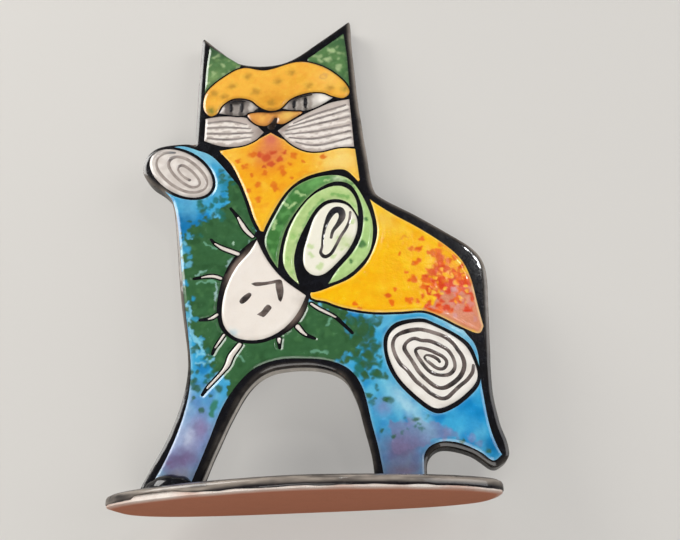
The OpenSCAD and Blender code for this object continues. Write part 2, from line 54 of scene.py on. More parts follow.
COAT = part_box("back_glaze")[1].y / MM - CLAY_BACK
BASE_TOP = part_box("base_glaze")[1].z / MM
BASE_CLAY_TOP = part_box("base_slab")[1].z / MM
BASE_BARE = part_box("base_glaze")[0].z / MM

# Step between an outline's points, and the turns from which a point is a corner and an edge is sharp
STEP = 0.45
CORNER = math.radians(45)
SHARP = math.radians(50)
# Shares of a grid's spacing: from row to row, and kept clear of an edge and of an extra row
ROW_PITCH = 0.87
EDGE_GAP = 0.55
ROW_GAP = 0.45
# Share of STEP that extra rows keep clear of an edge
ROW_TO_EDGE = 0.35
# Points tested at once against an outline
BATCH = 2000
# Distance between two seeds in the noise
SEED_STEP = 3.7
# Half axes of the rounded edges: inwards from the rim, and across the slab
FRONT_EDGE = (1.6, 1.3)
BACK_EDGE = (1.2, 1.2)
BASE_EDGE = (2.2, 1.8)


# ---- Outlines ----

def outlines(node, axis=1, highest=False):
    """Closed outlines of a CAD node's flat face on one side, as arrays of 2-D points."""
    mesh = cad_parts[node].data
    places = np.array([v.co for v in mesh.vertices]) / MM
    face_level = places[:, axis].max() if highest else places[:, axis].min()
    across = [a for a in range(3) if a != axis]
    keys = [tuple(k) for k in np.round(places[:, across], 3).tolist()]
    follows = {}
    for face in mesh.polygons:
        if any(abs(places[v, axis] - face_level) > 0.01 for v in face.vertices):
            continue
        ring = [keys[v] for v in face.vertices]
        for a, b in zip(ring, ring[1:] + ring[:1]):
            if a in follows.get(b, []):
                follows[b].remove(a)
            elif a != b:
                follows.setdefault(a, []).append(b)
    loops = []
    for start in list(follows):
        while follows[start]:
            loop = [start]
            while True:
                after = follows[loop[-1]].pop()
                if after == start:
                    break
                loop.append(after)
            loops.append(np.array(loop))
    return [smooth(loop) for loop in loops]


def unit(vectors):
    return vectors / np.linalg.norm(vectors, axis=-1, keepdims=True)


def smooth(loop):
    """The same closed outline with smooth curves between its corners, and points at equal steps."""
    ahead = np.roll(loop, -1, 0) - loop
    behind = np.roll(ahead, 1, 0)
    turn = np.arccos(np.clip((unit(ahead) * unit(behind)).sum(1), -1, 1))
    corners = list(np.flatnonzero(turn > CORNER))
    length = np.linalg.norm(ahead, axis=1)
    back_length = np.roll(length, 1)
    slope = (ahead / length[:, None] * back_length[:, None]
             + behind / back_length[:, None] * length[:, None]) / (length + back_length)[:, None]
    result = []
    for i in range(len(loop)):
        j = (i + 1) % len(loop)
        chord = ahead[i] / length[i]
        leave = chord if i in corners else slope[i]
        arrive = chord if j in corners else slope[j]
        count = max(1, int(round(length[i] / STEP)))
        for k in range(count):
            t = k / count
            result.append((2 * t**3 - 3 * t**2 + 1) * loop[i] + (3 * t**2 - 2 * t**3) * loop[j]
                          + length[i] * ((t**3 - 2 * t**2 + t) * leave + (t**3 - t**2) * arrive))
    return np.array(result)


def area(loop):
    after = np.roll(loop, -1, 0)
    return (loop[:, 0] * after[:, 1] - after[:, 0] * loop[:, 1]).sum() / 2


def longest(loops):
    return max(loops, key=lambda loop: abs(area(loop)))


def inset(loop, depth):
    """The outline moved inwards by depth."""
    along = unit(np.roll(loop, -1, 0) - np.roll(loop, 1, 0))
    inwards = np.stack([-along[:, 1], along[:, 0]], 1) * np.sign(area(loop))
    return loop + depth * inwards


def inside(points, loops):
    """Whether each point lies inside the outlines, holes left out."""
    odd = np.zeros(len(points), bool)
    for loop in loops:
        low, high = loop.min(0), loop.max(0)
        near = np.flatnonzero((points[:, 1] >= low[1]) & (points[:, 1] <= high[1])
                              & (points[:, 0] <= high[0]))
        after = np.roll(loop, -1, 0)
        rise = after[:, 1] - loop[:, 1]
        rise[rise == 0] = 1e-12
        for first in range(0, len(near), BATCH):
            some = near[first:first + BATCH]
            x, z = points[some, 0:1], points[some, 1:2]
            spans = (loop[:, 1] > z) != (after[:, 1] > z)
            crossing = loop[:, 0] + (z - loop[:, 1]) * (after[:, 0] - loop[:, 0]) / rise
            odd[some] ^= (spans & (x < crossing)).sum(1) % 2 == 1
    return odd


def distance_to(loops, parts=4):
    """A function that gives each point's distance to the outlines, with each side cut into parts."""
    close = np.concatenate([loop + (np.roll(loop, -1, 0) - loop) * k / parts
                            for loop in loops for k in range(parts)])
    tree = kdtree.KDTree(len(close))
    for i, (x, z) in enumerate(close):
        tree.insert((x, z, 0), i)
    tree.balance()
    return lambda points: np.array([tree.find((x, z, 0))[2] for x, z in points])


def ripple(points, size, seed):
    """Smooth noise from about -1 to 1, with bumps of the given size."""
    return np.array([noise.noise((x / size, z / size, seed * SEED_STEP)) for x, z in points])


# ---- Meshes ----

def fill(loops, spacing, rows=()):
    """Triangles that fill the outlines, on a grid of the given spacing and on extra rows of points."""
    edge = np.concatenate(loops)
    links = []
    for loop in loops:
        first = len(links)
        links += [(first + i, first + (i + 1) % len(loop)) for i in range(len(loop))]
    low, high = edge.min(0), edge.max(0)
    grid = np.array([(x + (spacing / 2 if row % 2 else 0), z)
                     for row, z in enumerate(np.arange(low[1], high[1], spacing * ROW_PITCH))
                     for x in np.arange(low[0], high[0], spacing)])
    grid = grid[inside(grid, loops)]
    reach = distance_to(loops)
    grid = grid[reach(grid) > spacing * EDGE_GAP]
    for row in rows:
        row = row[inside(row, loops)]
        if len(row):
            row = row[reach(row) > STEP * ROW_TO_EDGE]
        if len(row) and len(grid):
            grid = np.concatenate([grid[distance_to([row], 1)(grid) > spacing * ROW_GAP], row])
    points = np.concatenate([edge, grid])
    made = delaunay_2d_cdt([Vector(p) for p in points.tolist()], links, [], 0, 1e-5)
    flat = np.array([tuple(v) for v in made[0]])
    faces = np.array(made[2])
    faces = faces[inside(flat[faces].mean(1), loops)]
    used, faces = np.unique(faces, return_inverse=True)
    return flat[used], faces.reshape(-1, 3)


def between_sheets(faces, count):
    """Faces of a closed solid whose second sheet's points follow the first sheet's count points."""
    sides = {}
    for a, b, c in faces.tolist():
        for edge in ((a, b), (b, c), (c, a)):
            if edge[::-1] in sides:
                del sides[edge[::-1]]
            else:
                sides[edge] = True
    walls = [(b, a, a + count, b + count) for a, b in sides]
    return faces.tolist() + (faces[:, ::-1] + count).tolist() + walls


def upright(flat, y):
    """Points of the slab's plane, at depth y."""
    return np.stack([flat[:, 0], np.broadcast_to(y, len(flat)), flat[:, 1]], 1)


def level(flat, z):
    """Points of the foot plate's plane, at height z."""
    return np.stack([flat[:, 0], flat[:, 1], np.broadcast_to(z, len(flat))], 1)


def band(rings, closed=True):
    """Band through rings of as many points each, and back to the first ring if closed."""
    count = len(rings[0])
    faces = []
    for j in range(len(rings) if closed else len(rings) - 1):
        this, after = j * count, (j + 1) % len(rings) * count
        faces += [(this + i, this + (i + 1) % count, after + (i + 1) % count, after + i)
                  for i in range(count)]
    return np.concatenate(rings), faces


def join(*solids):
    places, faces = [], []
    for more_places, more_faces in solids:
        first = sum(len(p) for p in places)
        places.append(more_places)
        faces += [[first + v for v in face] for face in more_faces]
    return np.concatenate(places), faces


def put_in_scene(name, data):
    made = bpy.data.objects.new(name, data)
    bpy.context.scene.collection.objects.link(made)
    return made


def make(name, places, faces, material, node, colours):
    """A piece of the object from points in millimetres, each with its colour."""
    mesh = bpy.data.meshes.new(name)
    mesh.from_pydata((places * MM).tolist(), [], [list(map(int, face)) for face in faces])
    work = bmesh.new()
    work.from_mesh(mesh)
    bmesh.ops.recalc_face_normals(work, faces=work.faces)
    work.to_mesh(mesh)
    work.free()
    mesh.shade_smooth()
    mesh.set_sharp_from_angle(angle=SHARP)
    layer = mesh.color_attributes.new("paint", "FLOAT_COLOR", "POINT")
    layer.data.foreach_set("color", np.c_[colours, np.ones(len(colours))].ravel())
    mesh.materials.append(material)
    piece = put_in_scene(name, mesh)
    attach(piece, "root")
    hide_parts(node)


def make_sheets(name, front, back, faces, material, node, colours):
    """A closed piece between two sheets of points that have the same faces."""
    closed = between_sheets(faces, len(front))
    make(name, np.concatenate([front, back]), closed, material, node, colours)


# ---- Paint ----
# Colours are hex codes. Places are x, z; places, sizes and widths are in millimetres, tilts in degrees.

def linear(code):
    """Linear colour from a hex code."""
    parts = [int(code[i:i + 2], 16) / 255 for i in (0, 2, 4)]
    return np.array([p / 12.92 if p < 0.0405 else ((p + 0.055) / 1.055) ** 2.4 for p in parts])


def tinted(colours, code, amount):
    """One colour, or one for each point, moved towards a hex colour by each point's amount."""
    return colours + amount[:, None] * (linear(code) - colours)


def bell(values, width):
    """1 at zero, falling away on both sides."""
    return np.exp(-((values / width) ** 2))


def step_up(values, start, end):
    """0 before start and 1 after end, with a smooth climb between them."""
    t = np.clip((values - start) / (end - start), 0, 1)
    return t * t * (3 - 2 * t)


class Paint:
    """Colours over a pool's points, laid on one after another."""

    def __init__(self, points, edge, colour, seed):
        self.points = points
        self.edge = edge
        self.seed = seed
        wander = np.stack([ripple(points, 1.5, seed), ripple(points, 1.5, seed + 40)], 1)
        self.wandered = points + 0.9 * wander
        self.colours = np.tile(linear(colour), (len(points), 1))

    def lay(self, colour, amount):
        self.colours = tinted(self.colours, colour, np.clip(amount, 0, 1))

    def wash(self, colour, x, z, size, strength=0.8, stretch=1, tilt=0):
        """A soft patch, longer by stretch in the direction of tilt."""
        away = self.wandered - (x, z)
        turn = math.radians(tilt)
        along = (away * (math.cos(turn), math.sin(turn))).sum(1) / stretch
        side = (away * (-math.sin(turn), math.cos(turn))).sum(1)
        self.lay(colour, strength * np.exp(-(along**2 + side**2) / size**2))

    def spot(self, colour, x, z, radius, strength=0.9):
        """A fleck with a fairly crisp edge."""
        away = np.linalg.norm(self.wandered - (x, z), axis=1)
        self.lay(colour, strength * (1 - step_up(away, radius * 0.6, radius * 1.35)))

    def spots(self, colour, places, strength=0.9):
        for x, z, radius in places:
            self.spot(colour, x, z, radius, strength)

    def washes(self, *rows):
        for row in rows:
            self.wash(*row)

    def dabs(self, colour, places, size, strength):
        for x, z in places:
            self.wash(colour, x, z, size, strength)

    def scatter(self, colours, low, high, count, radii, strength=0.85, seed=0):
        """Flecks at random places in a box."""
        pick = random.Random(self.seed * 100 + seed)
        for _ in range(count):
            x, z = pick.uniform(low[0], high[0]), pick.uniform(low[1], high[1])
            self.spot(pick.choice(colours), x, z, pick.uniform(*radii), strength * pick.uniform(0.7, 1))

    def mottle(self, colour, size, strength=0.6, start=0, end=0.5, seed=0, where=1.0):
        """Patches where noise is high."""
        clouds = ripple(self.points, size, self.seed + seed + 7)
        self.lay(colour, strength * where * step_up(clouds, start, end))

    def streak(self, colour, path, width, strength=0.8):
        """A brush mark along a path."""
        path = np.array(path, float)
        away = np.full(len(self.points), 1e9)
        for a, b in zip(path[:-1], path[1:]):
            t = np.clip(((self.wandered - a) * (b - a)).sum(1) / ((b - a) ** 2).sum(), 0, 1)
            away = np.minimum(away, np.linalg.norm(self.wandered - a - t[:, None] * (b - a), axis=1))
        self.lay(colour, strength * (1 - step_up(away, width * 0.3, width * 0.8)))

    def streaks(self, colour, paths, width, strength):
        for path in paths:
            self.streak(colour, path, width, strength)

    def zone(self, colour, outline, rough, strength, size):
        """A patch inside an outline, with an edge broken up by noise."""
        loop = np.array(outline, float)
        depth = distance_to([loop], 30)(self.points) * np.where(inside(self.points, [loop]), 1, -1)
        breakup = ripple(self.points, size, self.seed + 11)
        breakup = breakup + 0.5 * ripple(self.points, size / 2.3, self.seed + 12)
        self.lay(colour, strength * step_up(depth + rough * breakup, -0.4, 0.4))

    def thin_edge(self, colour, width, strength):
        """Thinner glaze along the pool's edge."""
        self.lay(colour, strength * bell(self.edge, width))


def paint_ear_left(paint):
    paint.mottle("7b9a5f", 3)
    paint.wash("334f35", -35.5, 176, 4.5, 0.95)
    paint.mottle("a3b986", 2.2, 0.8, 0.1, 0.5, 2)
    paint.wash("2f5233", -30, 172.5, 2.6, 0.7)
    paint.wash("86a366", -33, 162, 3, 0.6)


def paint_ear_right(paint):
    paint.mottle("44693f", 3, 0.7)
    paint.wash("3a5f3d", 16.5, 175, 3.5)
    paint.mottle("a9c08b", 2.2, 0.6, 0.15, 0.55, 2)
    paint.spots("adc48f", [(11.5, 166.5, 1.5), (15.8, 162.5, 1.4), (8.4, 166, 1.1), (13, 171, 1.4)], 0.7)
    paint.wash("3c6539", 17.5, 157, 2, 0.7, 2, 90)


def paint_brow(paint):
    paint.washes(
        ("dd962b", -10, 148, 5, 0.8, 2.2), ("fbc05a", 12, 157, 6), ("fdba45", -24, 158, 7, 0.5))
    paint.mottle("e99f2c", 5, 0.5, 0, 0.6)
    paint.dabs("a97c2c", [
        (-26, 157), (-20, 161.3), (-16.8, 153.5), (-10.5, 147.5), (-2.8, 161.5), (4, 154.3), (12, 152.3),
        (-29, 152), (-8, 157.5), (-33, 154)], 1.5, 0.75)
    paint.spot("dd9a55", 9.8, 158.3, 1.7, 0.85)
    paint.spot("f6b552", 9.8, 158.3, 0.8, 0.8)
    paint.washes(
        ("6f7a34", -33.8, 145.6, 1.9, 0.9), ("87833a", 18, 151.6, 1.5),
        ("4a3018", -11, 143.3, 1.1, 0.85, 4))


def upright_streaks(paint, marks):
    for x, colour in marks:
        paint.streak(colour, [(x, 141), (x, 152)], 1.5, 0.85)


def paint_eye_left(paint):
    upright_streaks(paint, [(-29.4, "c8beb6"), (-27.6, "615855"), (-26, "3a3432"), (-24, "8f8782"),
                            (-21.9, "3a3433"), (-20.1, "8a817c"), (-18.2, "cfc6be")])
    # A dark band along the eye's top: partly the pupil's paint and partly painted shade under the brow
    paint.wash("1f1a18", -24.4, 148.9, 1.6, 0.95, 3.4)


def paint_eye_right(paint):
    upright_streaks(paint, [(-4.4, "c4bbb3"), (-3.2, "877e78"), (-1.7, "363030"), (0.4, "8f8680"),
                            (2.6, "332e2e"), (4.6, "91877f")])
    paint.washes(
        ("2a2320", 0.4, 149.2, 1.6, 0.95, 3.2, 15), ("fdf7ee", 8.9, 147.6, 2.2, 1, 1.4),
        ("fdf7ee", 10.5, 147.4, 1.5, 0.9))


def paint_nose(paint):
    paint.washes(
        ("a0622a", -9.5, 138.5, 1.9, 0.85), ("f2ab50", -14, 140.4, 2, 0.7),
        ("efc263", -4, 140.8, 2.8, 0.85), ("5a3c1e", -9, 143, 0.9, 0.8, 6))


def paint_cheek(paint):
    paint.streaks("f6eee6", [
        [(-34.8, 138.8), (-27, 139), (-20, 137)], [(-34.8, 136.4), (-26, 136), (-18.8, 135)],
        [(-34.8, 134), (-26, 133), (-18, 133)], [(-34.5, 131.6), (-26, 130.4), (-18.5, 131)],
        [(-3, 136.2), (6, 139.3), (19, 142.6)], [(-4, 134.6), (6, 136.9), (19.3, 139.8)],
        [(-5, 133), (6, 134.2), (19.4, 136.3)], [(-4.5, 131.4), (6, 130.9), (19.5, 133)],
        [(-2.6, 129.4), (7, 127.8), (19.6, 130.2)], [(2, 126), (10, 125), (19.8, 127)]], 1.1, 0.85)
    paint.dabs("8d7f78", [(-14.5, 134), (-6, 134.6)], 2.6, 0.7)
    paint.wash("f8f1e9", 17, 127, 3, 0.7)
    paint.wash("a0978f", 1, 143, 1.1, 0.6, 2, 80)


def paint_chest(paint):
    paint.washes(
        ("fcd677", 15, 119, 7.5, 0.95), ("ffc94f", -25, 124, 4, 0.7), ("fbb829", -14, 97, 8, 0.6),
        ("ee8a1e", -12, 119, 7, 0.6))
    paint.mottle("f0901c", 4, 0.5, 0.1, 0.6)
    paint.mottle("ffc63c", 5, 0.5, 0.1, 0.6, 3)
    paint.wash("d9755c", -10.4, 130, 4, 1, 1.5, 90)
    paint.wash("dd7648", -11, 124, 4.8, 0.85, 1.4)
    paint.spots("cb4a2a", [
        (-12, 122.4, 1.9), (-7, 121.2, 1.4), (-10.3, 119.3, 1.3), (-14.6, 123.8, 1.2), (-9.6, 124.6, 1.1),
        (-12.8, 118.2, 0.8), (-5.2, 124, 0.8)])
    paint.spots("e0681c", [
        (-17, 124, 1.4), (-1.9, 122.4, 1.4), (-6.2, 117, 1.5), (-5.7, 115, 1.2), (-9, 110, 1.3),
        (-8.5, 108.2, 1), (-20, 119.3, 1.2), (-14.9, 110.8, 1.3), (-14.8, 104.6, 1.4), (-12.5, 115.6, 1),
        (-17.3, 115, 0.8), (9, 120.8, 1.1), (-3, 118.6, 1), (-18.3, 108.6, 0.8), (-2.6, 113, 0.8),
        (-22.5, 121.6, 1), (1.5, 119.6, 0.8)], 0.85)


# Where the coat is green, round the sun
GREEN_GROUND = [
    (-41.5, 91), (-38, 94.5), (-33.5, 96.5), (-29.5, 99.5), (-26.5, 106), (-24.5, 113), (-21.5, 112),
    (-16, 98), (-12, 88), (0, 66), (8, 62), (16, 58.5), (20.5, 55.5), (20, 49), (17, 43), (9, 40),
    (-12, 37), (-21, 33), (-24, 39), (-28, 43), (-33, 48.5), (-36.8, 57), (-40.5, 63), (-45, 74), (-46, 84)]


def paint_coat(paint):
    paint.mottle("66b9dc", 5.5)
    paint.mottle("0878b8", 4.5, 0.8, 0, 0.45, 3)
    paint.thin_edge("a3cfe4", 0.4, 0.4)
    paint.washes(
        ("0068a0", -40.5, 96, 5, 0.95, 1.5, 90), ("7fc0da", -36, 126, 3, 0.8, 3.5, -25),
        ("6ab7d8", -39, 106, 4.5, 0.6, 1.6, 30), ("1f7c95", -26, 113, 4.5, 0.85))
    # Lilac over the front foot, then the hind foot; the grey patch low on the front foot, at -37, 8.6, is
    # painted shade beside the slip lump
    paint.washes(
        ("9398bc", -34.5, 18, 8, 0.9, 1.6, 70), ("a4bcdc", -36, 30, 2, 0.6, 3, 80),
        ("bcc5de", -34.3, 20.3, 1.8, 0.85, 1.6, 80), ("a8b6d8", -38.5, 19.5, 1.8, 0.7, 3, 65),
        ("7f7399", -30.8, 22.8, 2.9, 0.9, 1.4, 110), ("706389", -36, 13.6, 3.5, 1.0, 1.6, 12),
        ("75567f", -40, 12.3, 1.4, 0.7), ("8b848f", -37, 8.6, 2.2, 0.85, 2.6),
        ("4fb0d4", 27, 33, 3, 0.7, 2.5, 110), ("7d84ae", 26, 27, 3, 0.7),
        ("6d5f80", 31, 14, 5.5, 0.95, 1.4), ("7d7086", 31, 7, 4, 0.9, 2))
    paint.zone("7a7196", [
        (28, 22), (38, 23), (44, 20), (49, 17.5), (46, 16), (38, 15), (28, 12)], 2, 0.6, 3)
    paint.spots("7f7aa0", [(52, 16, 1.2), (54, 14.2, 1), (45, 18, 1.3), (34, 22, 1.1)], 0.6)
    # Tail and the paler halo of the hind disc
    paint.washes(
        ("0b87c6", 52, 24, 6, 0.85), ("006697", 57.5, 13, 3.5, 0.85), ("45aee0", 49, 21, 3, 0.6),
        ("9fd2e8", 50, 53, 2.2, 0.95, 5, -42), ("a5d5ea", 33, 27.5, 2.2, 0.8, 4, -50))
    # Green ground round the sun
    blues = ["3b9ccb", "6fbfdf"]
    on_green = inside(paint.points, [np.array(GREEN_GROUND)])
    paint.zone("345e30", GREEN_GROUND, 3, 0.98, 2.8)
    paint.mottle("244a28", 3.5, 0.5, 0.1, 0.5, 9, on_green)
    paint.mottle("4a7a49", 2.2, 0.4, 0.25, 0.6, 14, on_green)
    paint.scatter(blues, (-41, 50), (-36, 64), 14, (0.5, 1.2), 0.9, 11)
    paint.scatter(blues, (-43, 79), (-38, 93), 26, (0.5, 1.3), 0.9, 15)
    paint.spots("2492bf", [
        (-39.1, 73.2, 1.2), (-35.9, 67.3, 0.7), (-37.7, 65.6, 0.7), (-41.4, 78.5, 0.6),
        (-40.3, 71, 0.5)], 0.85)
    paint.streak("3a9dc2", [(-39, 62.6), (-36.6, 60.6), (-34.4, 59.6)], 1.3, 0.85)
    paint.streak("8fbfb0", [(-35.7, 75.9), (-34, 77), (-32, 77.3)], 0.7)
    paint.scatter(blues, (-37, 45), (-30, 56), 12, (0.5, 1.1), 0.85, 12)
    paint.scatter(blues[:1], (14, 40), (20, 58), 9, (0.5, 0.9), 0.8, 13)
    paint.streaks("7cc3e0", [
        [(-36.5, 57), (-34.8, 53), (-33, 51.2), (-31.5, 48)], [(-35.5, 50), (-32.5, 47.2), (-29.5, 46.8)],
        [(-33.5, 44.5), (-30.5, 43.6), (-28.4, 45)], [(-38.2, 66), (-36.5, 62.5), (-36.8, 59)]], 0.8, 0.85)
    green, teal = "305a35", "23695e"
    paint.scatter([green, green, teal], (-40, 90), (-33, 99), 16, (0.5, 1.2), 0.85, 7)
    paint.scatter([green, teal], (-37, 97), (-27, 107), 30, (0.5, 1.2), 0.85, 1)
    paint.scatter([green, teal], (-29, 105), (-23.5, 119), 22, (0.5, 1.1), 0.8, 2)
    paint.scatter([green, teal], (16, 36), (26.5, 58), 90, (0.5, 1.3), 0.92, 3)
    paint.scatter([green], (18, 42), (25, 57), 22, (0.8, 1.6), 0.92, 10)
    paint.scatter([green, green, teal], (20, 28), (28, 40), 16, (0.5, 1.1), 0.85, 4)
    paint.scatter([green, teal], (-36, 36), (-27, 51), 30, (0.5, 1.3), 0.9, 5)
    paint.scatter(["2f6a50"], (30, 18), (42, 24), 8, (0.5, 0.9), 0.7, 6)
    paint.spots(green, [
        (-34, 49.5, 1.2), (-32.6, 35.4, 1.2), (-33.8, 32.4, 0.8), (-25.8, 35.3, 1.2), (-31, 28.5, 0.8),
        (-28.5, 33, 0.7), (21, 37, 1.2), (24.6, 37.6, 0.9), (27, 36.6, 1.1), (20.8, 41, 1.1), (24, 41, 0.9),
        (35.5, 22.8, 1), (49, 15.5, 0.7), (56.5, 12, 0.8), (25, 19.5, 0.8), (28.6, 17.7, 0.7)], 0.85)
    paint.streak("2f7548", [(-26.6, 31), (-27.4, 27.5)], 1.7, 0.85)
    # Short strokes round the sun's rays
    paint.streaks("a3c6c2", [
        [(-17.2, 87.8), (-17.7, 86.2), (-19.8, 84.6)], [(-23.6, 81.4), (-24.9, 79.2)],
        [(-28.2, 72.8), (-28.4, 66)]], 0.6, 0.8)
    paint.streaks("6ba184", [
        [(-34, 88.5), (-29, 85.5)], [(-35, 73.2), (-28.5, 73)], [(10.5, 57.5), (9, 54.5)],
        [(-22, 48), (-18, 44.2)], [(-33.5, 76.4), (-32, 76.6)], [(4, 46), (9, 45.4)]], 0.7, 0.8)
    paint.spot("a5c9ae", -23, 87.5, 0.5)


def paint_shoulder_disc(paint):
    paint.mottle("e9e1d9", 3, 0.7)
    paint.dabs("f6efe8", [
        (-52, 122), (-50, 126), (-46.5, 122), (-38, 113.5), (-49, 114.5), (-42, 109.6)], 1.6, 0.75)
    paint.wash("8f8c8b", -53.5, 128, 1.6, 0.7, 2, 30)


def paint_haunch_outer(paint):
    paint.mottle("5f9a55", 2.6, 0.7, 0, 0.45)
    paint.mottle("2c5c31", 3, 0.7, 0.1, 0.5, 4)
    paint.wash("6ea85f", 6, 110, 2.6, 0.8, 2, 20)
    paint.zone("a9cf80", [
        (13, 113.5), (17, 110.5), (21, 105), (23, 96), (21.5, 87), (15, 78), (9, 69), (25, 74), (29, 90),
        (23, 112)], 1, 0.95, 2.5)
    # A pale spot at the top of the haunch is a painted highlight
    paint.wash("d3e6bd", 14.5, 111.3, 1.2, 0.85, 1.8)
    paint.wash("b9d890", 18.5, 77, 2.4, 0.7, 2, 45)
    paint.streaks("b4d493", [
        [(-7, 103), (-4.5, 101.5)], [(-1, 106.5), (2, 104.8)], [(-3.5, 100.5), (-1, 102.2)],
        [(-9.5, 92), (-8, 95.5)], [(9, 110.2), (11, 110.6)], [(14, 111.8), (17.5, 110.6)]], 0.9, 0.75)
    paint.spots("3a7038", [(21.6, 84, 1.5), (23.6, 93.5, 0.8), (17.8, 77.5, 0.8), (19, 108.5, 0.8)])


def paint_haunch_ring(paint):
    paint.mottle("c3dd97", 3)
    paint.streak("6da455", [(0, 86), (2.5, 93), (5.5, 99), (8.5, 102)], 1.7)
    paint.streak("6da455", [(12, 104.6), (17.5, 103.2)], 1.1, 0.75)
    paint.spots("8dbb68", [(-2.2, 88.5, 1.1), (19.6, 99.5, 0.9), (-3.6, 80, 0.8), (-1.8, 75, 0.8)], 0.7)


def paint_haunch_core(paint):
    paint.spots("cddfa5", [(4, 84, 1.2), (4.3, 81, 0.9), (7, 76.3, 1.4), (12, 80, 1), (18.8, 93, 1)], 0.95)
    paint.wash("cddca6", 15.6, 85, 3, 0.9)
    paint.spots("bfd48f", [(14.5, 87, 0.9), (16.8, 84, 0.9), (14.8, 82.2, 0.7)], 0.7)


def paint_rump(paint):
    paint.washes(
        ("f4c84e", 28, 95, 5, 0.8, 2, -35), ("fca607", 52, 77, 5, 0.7), ("fbae10", 30, 66, 8, 0.5, 1.5))
    paint.mottle("ffc115", 5)
    paint.mottle("f5a406", 5, 0.5, 0.1, 0.6, 5)
    paint.zone("cf7a6c", [
        (60, 70), (52, 69), (46, 64), (43, 60), (38, 56), (52, 50), (60, 48)], 2, 0.85, 3.5)
    orange, red = "ec6204", "da3600"
    paint.scatter([red, orange, red], (41, 57), (57.5, 73), 70, (0.6, 1.4), 1, 1)
    paint.scatter([red], (45, 62), (56.5, 76), 24, (0.8, 1.5), 1, 7)
    paint.scatter([orange, orange, red], (38, 64), (55, 82), 30, (0.6, 1.2), 0.85, 2)
    paint.scatter(["fba41c", "ffc233"], (43, 60), (56, 76), 34, (0.4, 0.8), 0.9, 8)
    paint.scatter(["cf8d8c", "d88c7e"], (50, 53), (58.5, 66), 18, (0.5, 1), 0.8, 9)
    paint.spots(orange, [
        (20, 59.9, 0.9), (18.7, 61.6, 0.9), (30.7, 61.5, 1), (37, 69.5, 0.9), (36, 72.3, 0.8),
        (39.8, 75.5, 0.9), (34.3, 79.2, 0.7), (42, 84.6, 0.8), (32, 66, 0.8), (36.5, 62, 1.2),
        (39, 61.4, 0.9), (41, 66.5, 0.9), (44, 79.5, 0.7), (50, 81, 0.7)])
    paint.streak("e98f24", [(34.6, 85), (36, 86.2), (37.5, 85.2)], 0.7, 0.7)
    paint.spots("dd4c16", [(47.6, 77, 1.8), (44.5, 71.8, 1.6), (49.5, 72.6, 1.2), (29.6, 64.2, 1.1)])


def paint_sun(paint):
    paint.mottle("e6dcd2", 6, 0.5)
    paint.wash("a8cdd8", -21.8, 53.8, 1.4, 0.75)
    paint.wash("cfc4b8", 0, 64.5, 2.2, 0.6)


def paint_white(paint):
    paint.mottle("ded6cc", 4, 0.5)


def paint_nose_spot(paint):
    paint.mottle("3a2a20", 2)


def paint_hind_spiral(paint):
    paint.mottle("8b7f79", 6, 0.75, -0.05, 0.4)
    paint.mottle("35302f", 3.5, 0.8, 0.1, 0.4, 3)
    paint.dabs("191617", [
        (32, 50.3), (35, 51.2), (33.5, 45.4), (37.1, 44.6), (39.9, 42.2), (50, 34.8), (47.5, 33),
        (48, 36.7), (44.4, 40.4)], 1.3, 0.9)


def paint_shoulder_spiral(paint):
    paint.mottle("aba199", 5)
    paint.dabs("57504f", [(-48, 124.2), (-44.4, 121.4), (-39.9, 114.7)], 1, 0.85)
    paint.wash("646a6f", -47.5, 127.6, 2.2)


def paint_sun_face(paint):
    paint.mottle("8f817a", 3, 0.6, -0.1)
    paint.washes(
        ("3b322f", -14.8, 71.2, 1, 0.7), ("40372f", -6.9, 71.9, 0.9, 0.6), ("2a2321", -6.4, 65.3, 1.1, 0.9),
        ("1e191a", -18.2, 66, 2.4, 0.95), ("3a312e", -11, 61, 1.4))


def paint_whiskers(paint):
    paint.mottle("6f6764", 4, 0.5)


def paint_haunch_swirl(paint):
    paint.washes(
        ("8b7f79", 17.8, 95.5, 3.2, 0.85), ("7d716c", 14.3, 86.5, 3.2, 0.75), ("5d5350", 7.8, 83.5, 2, 0.7),
        ("14161f", 13.5, 97, 3, 0.95))


def paint_pupil(paint):
    paint.mottle("3a3436", 2, 0.5, 0.1)


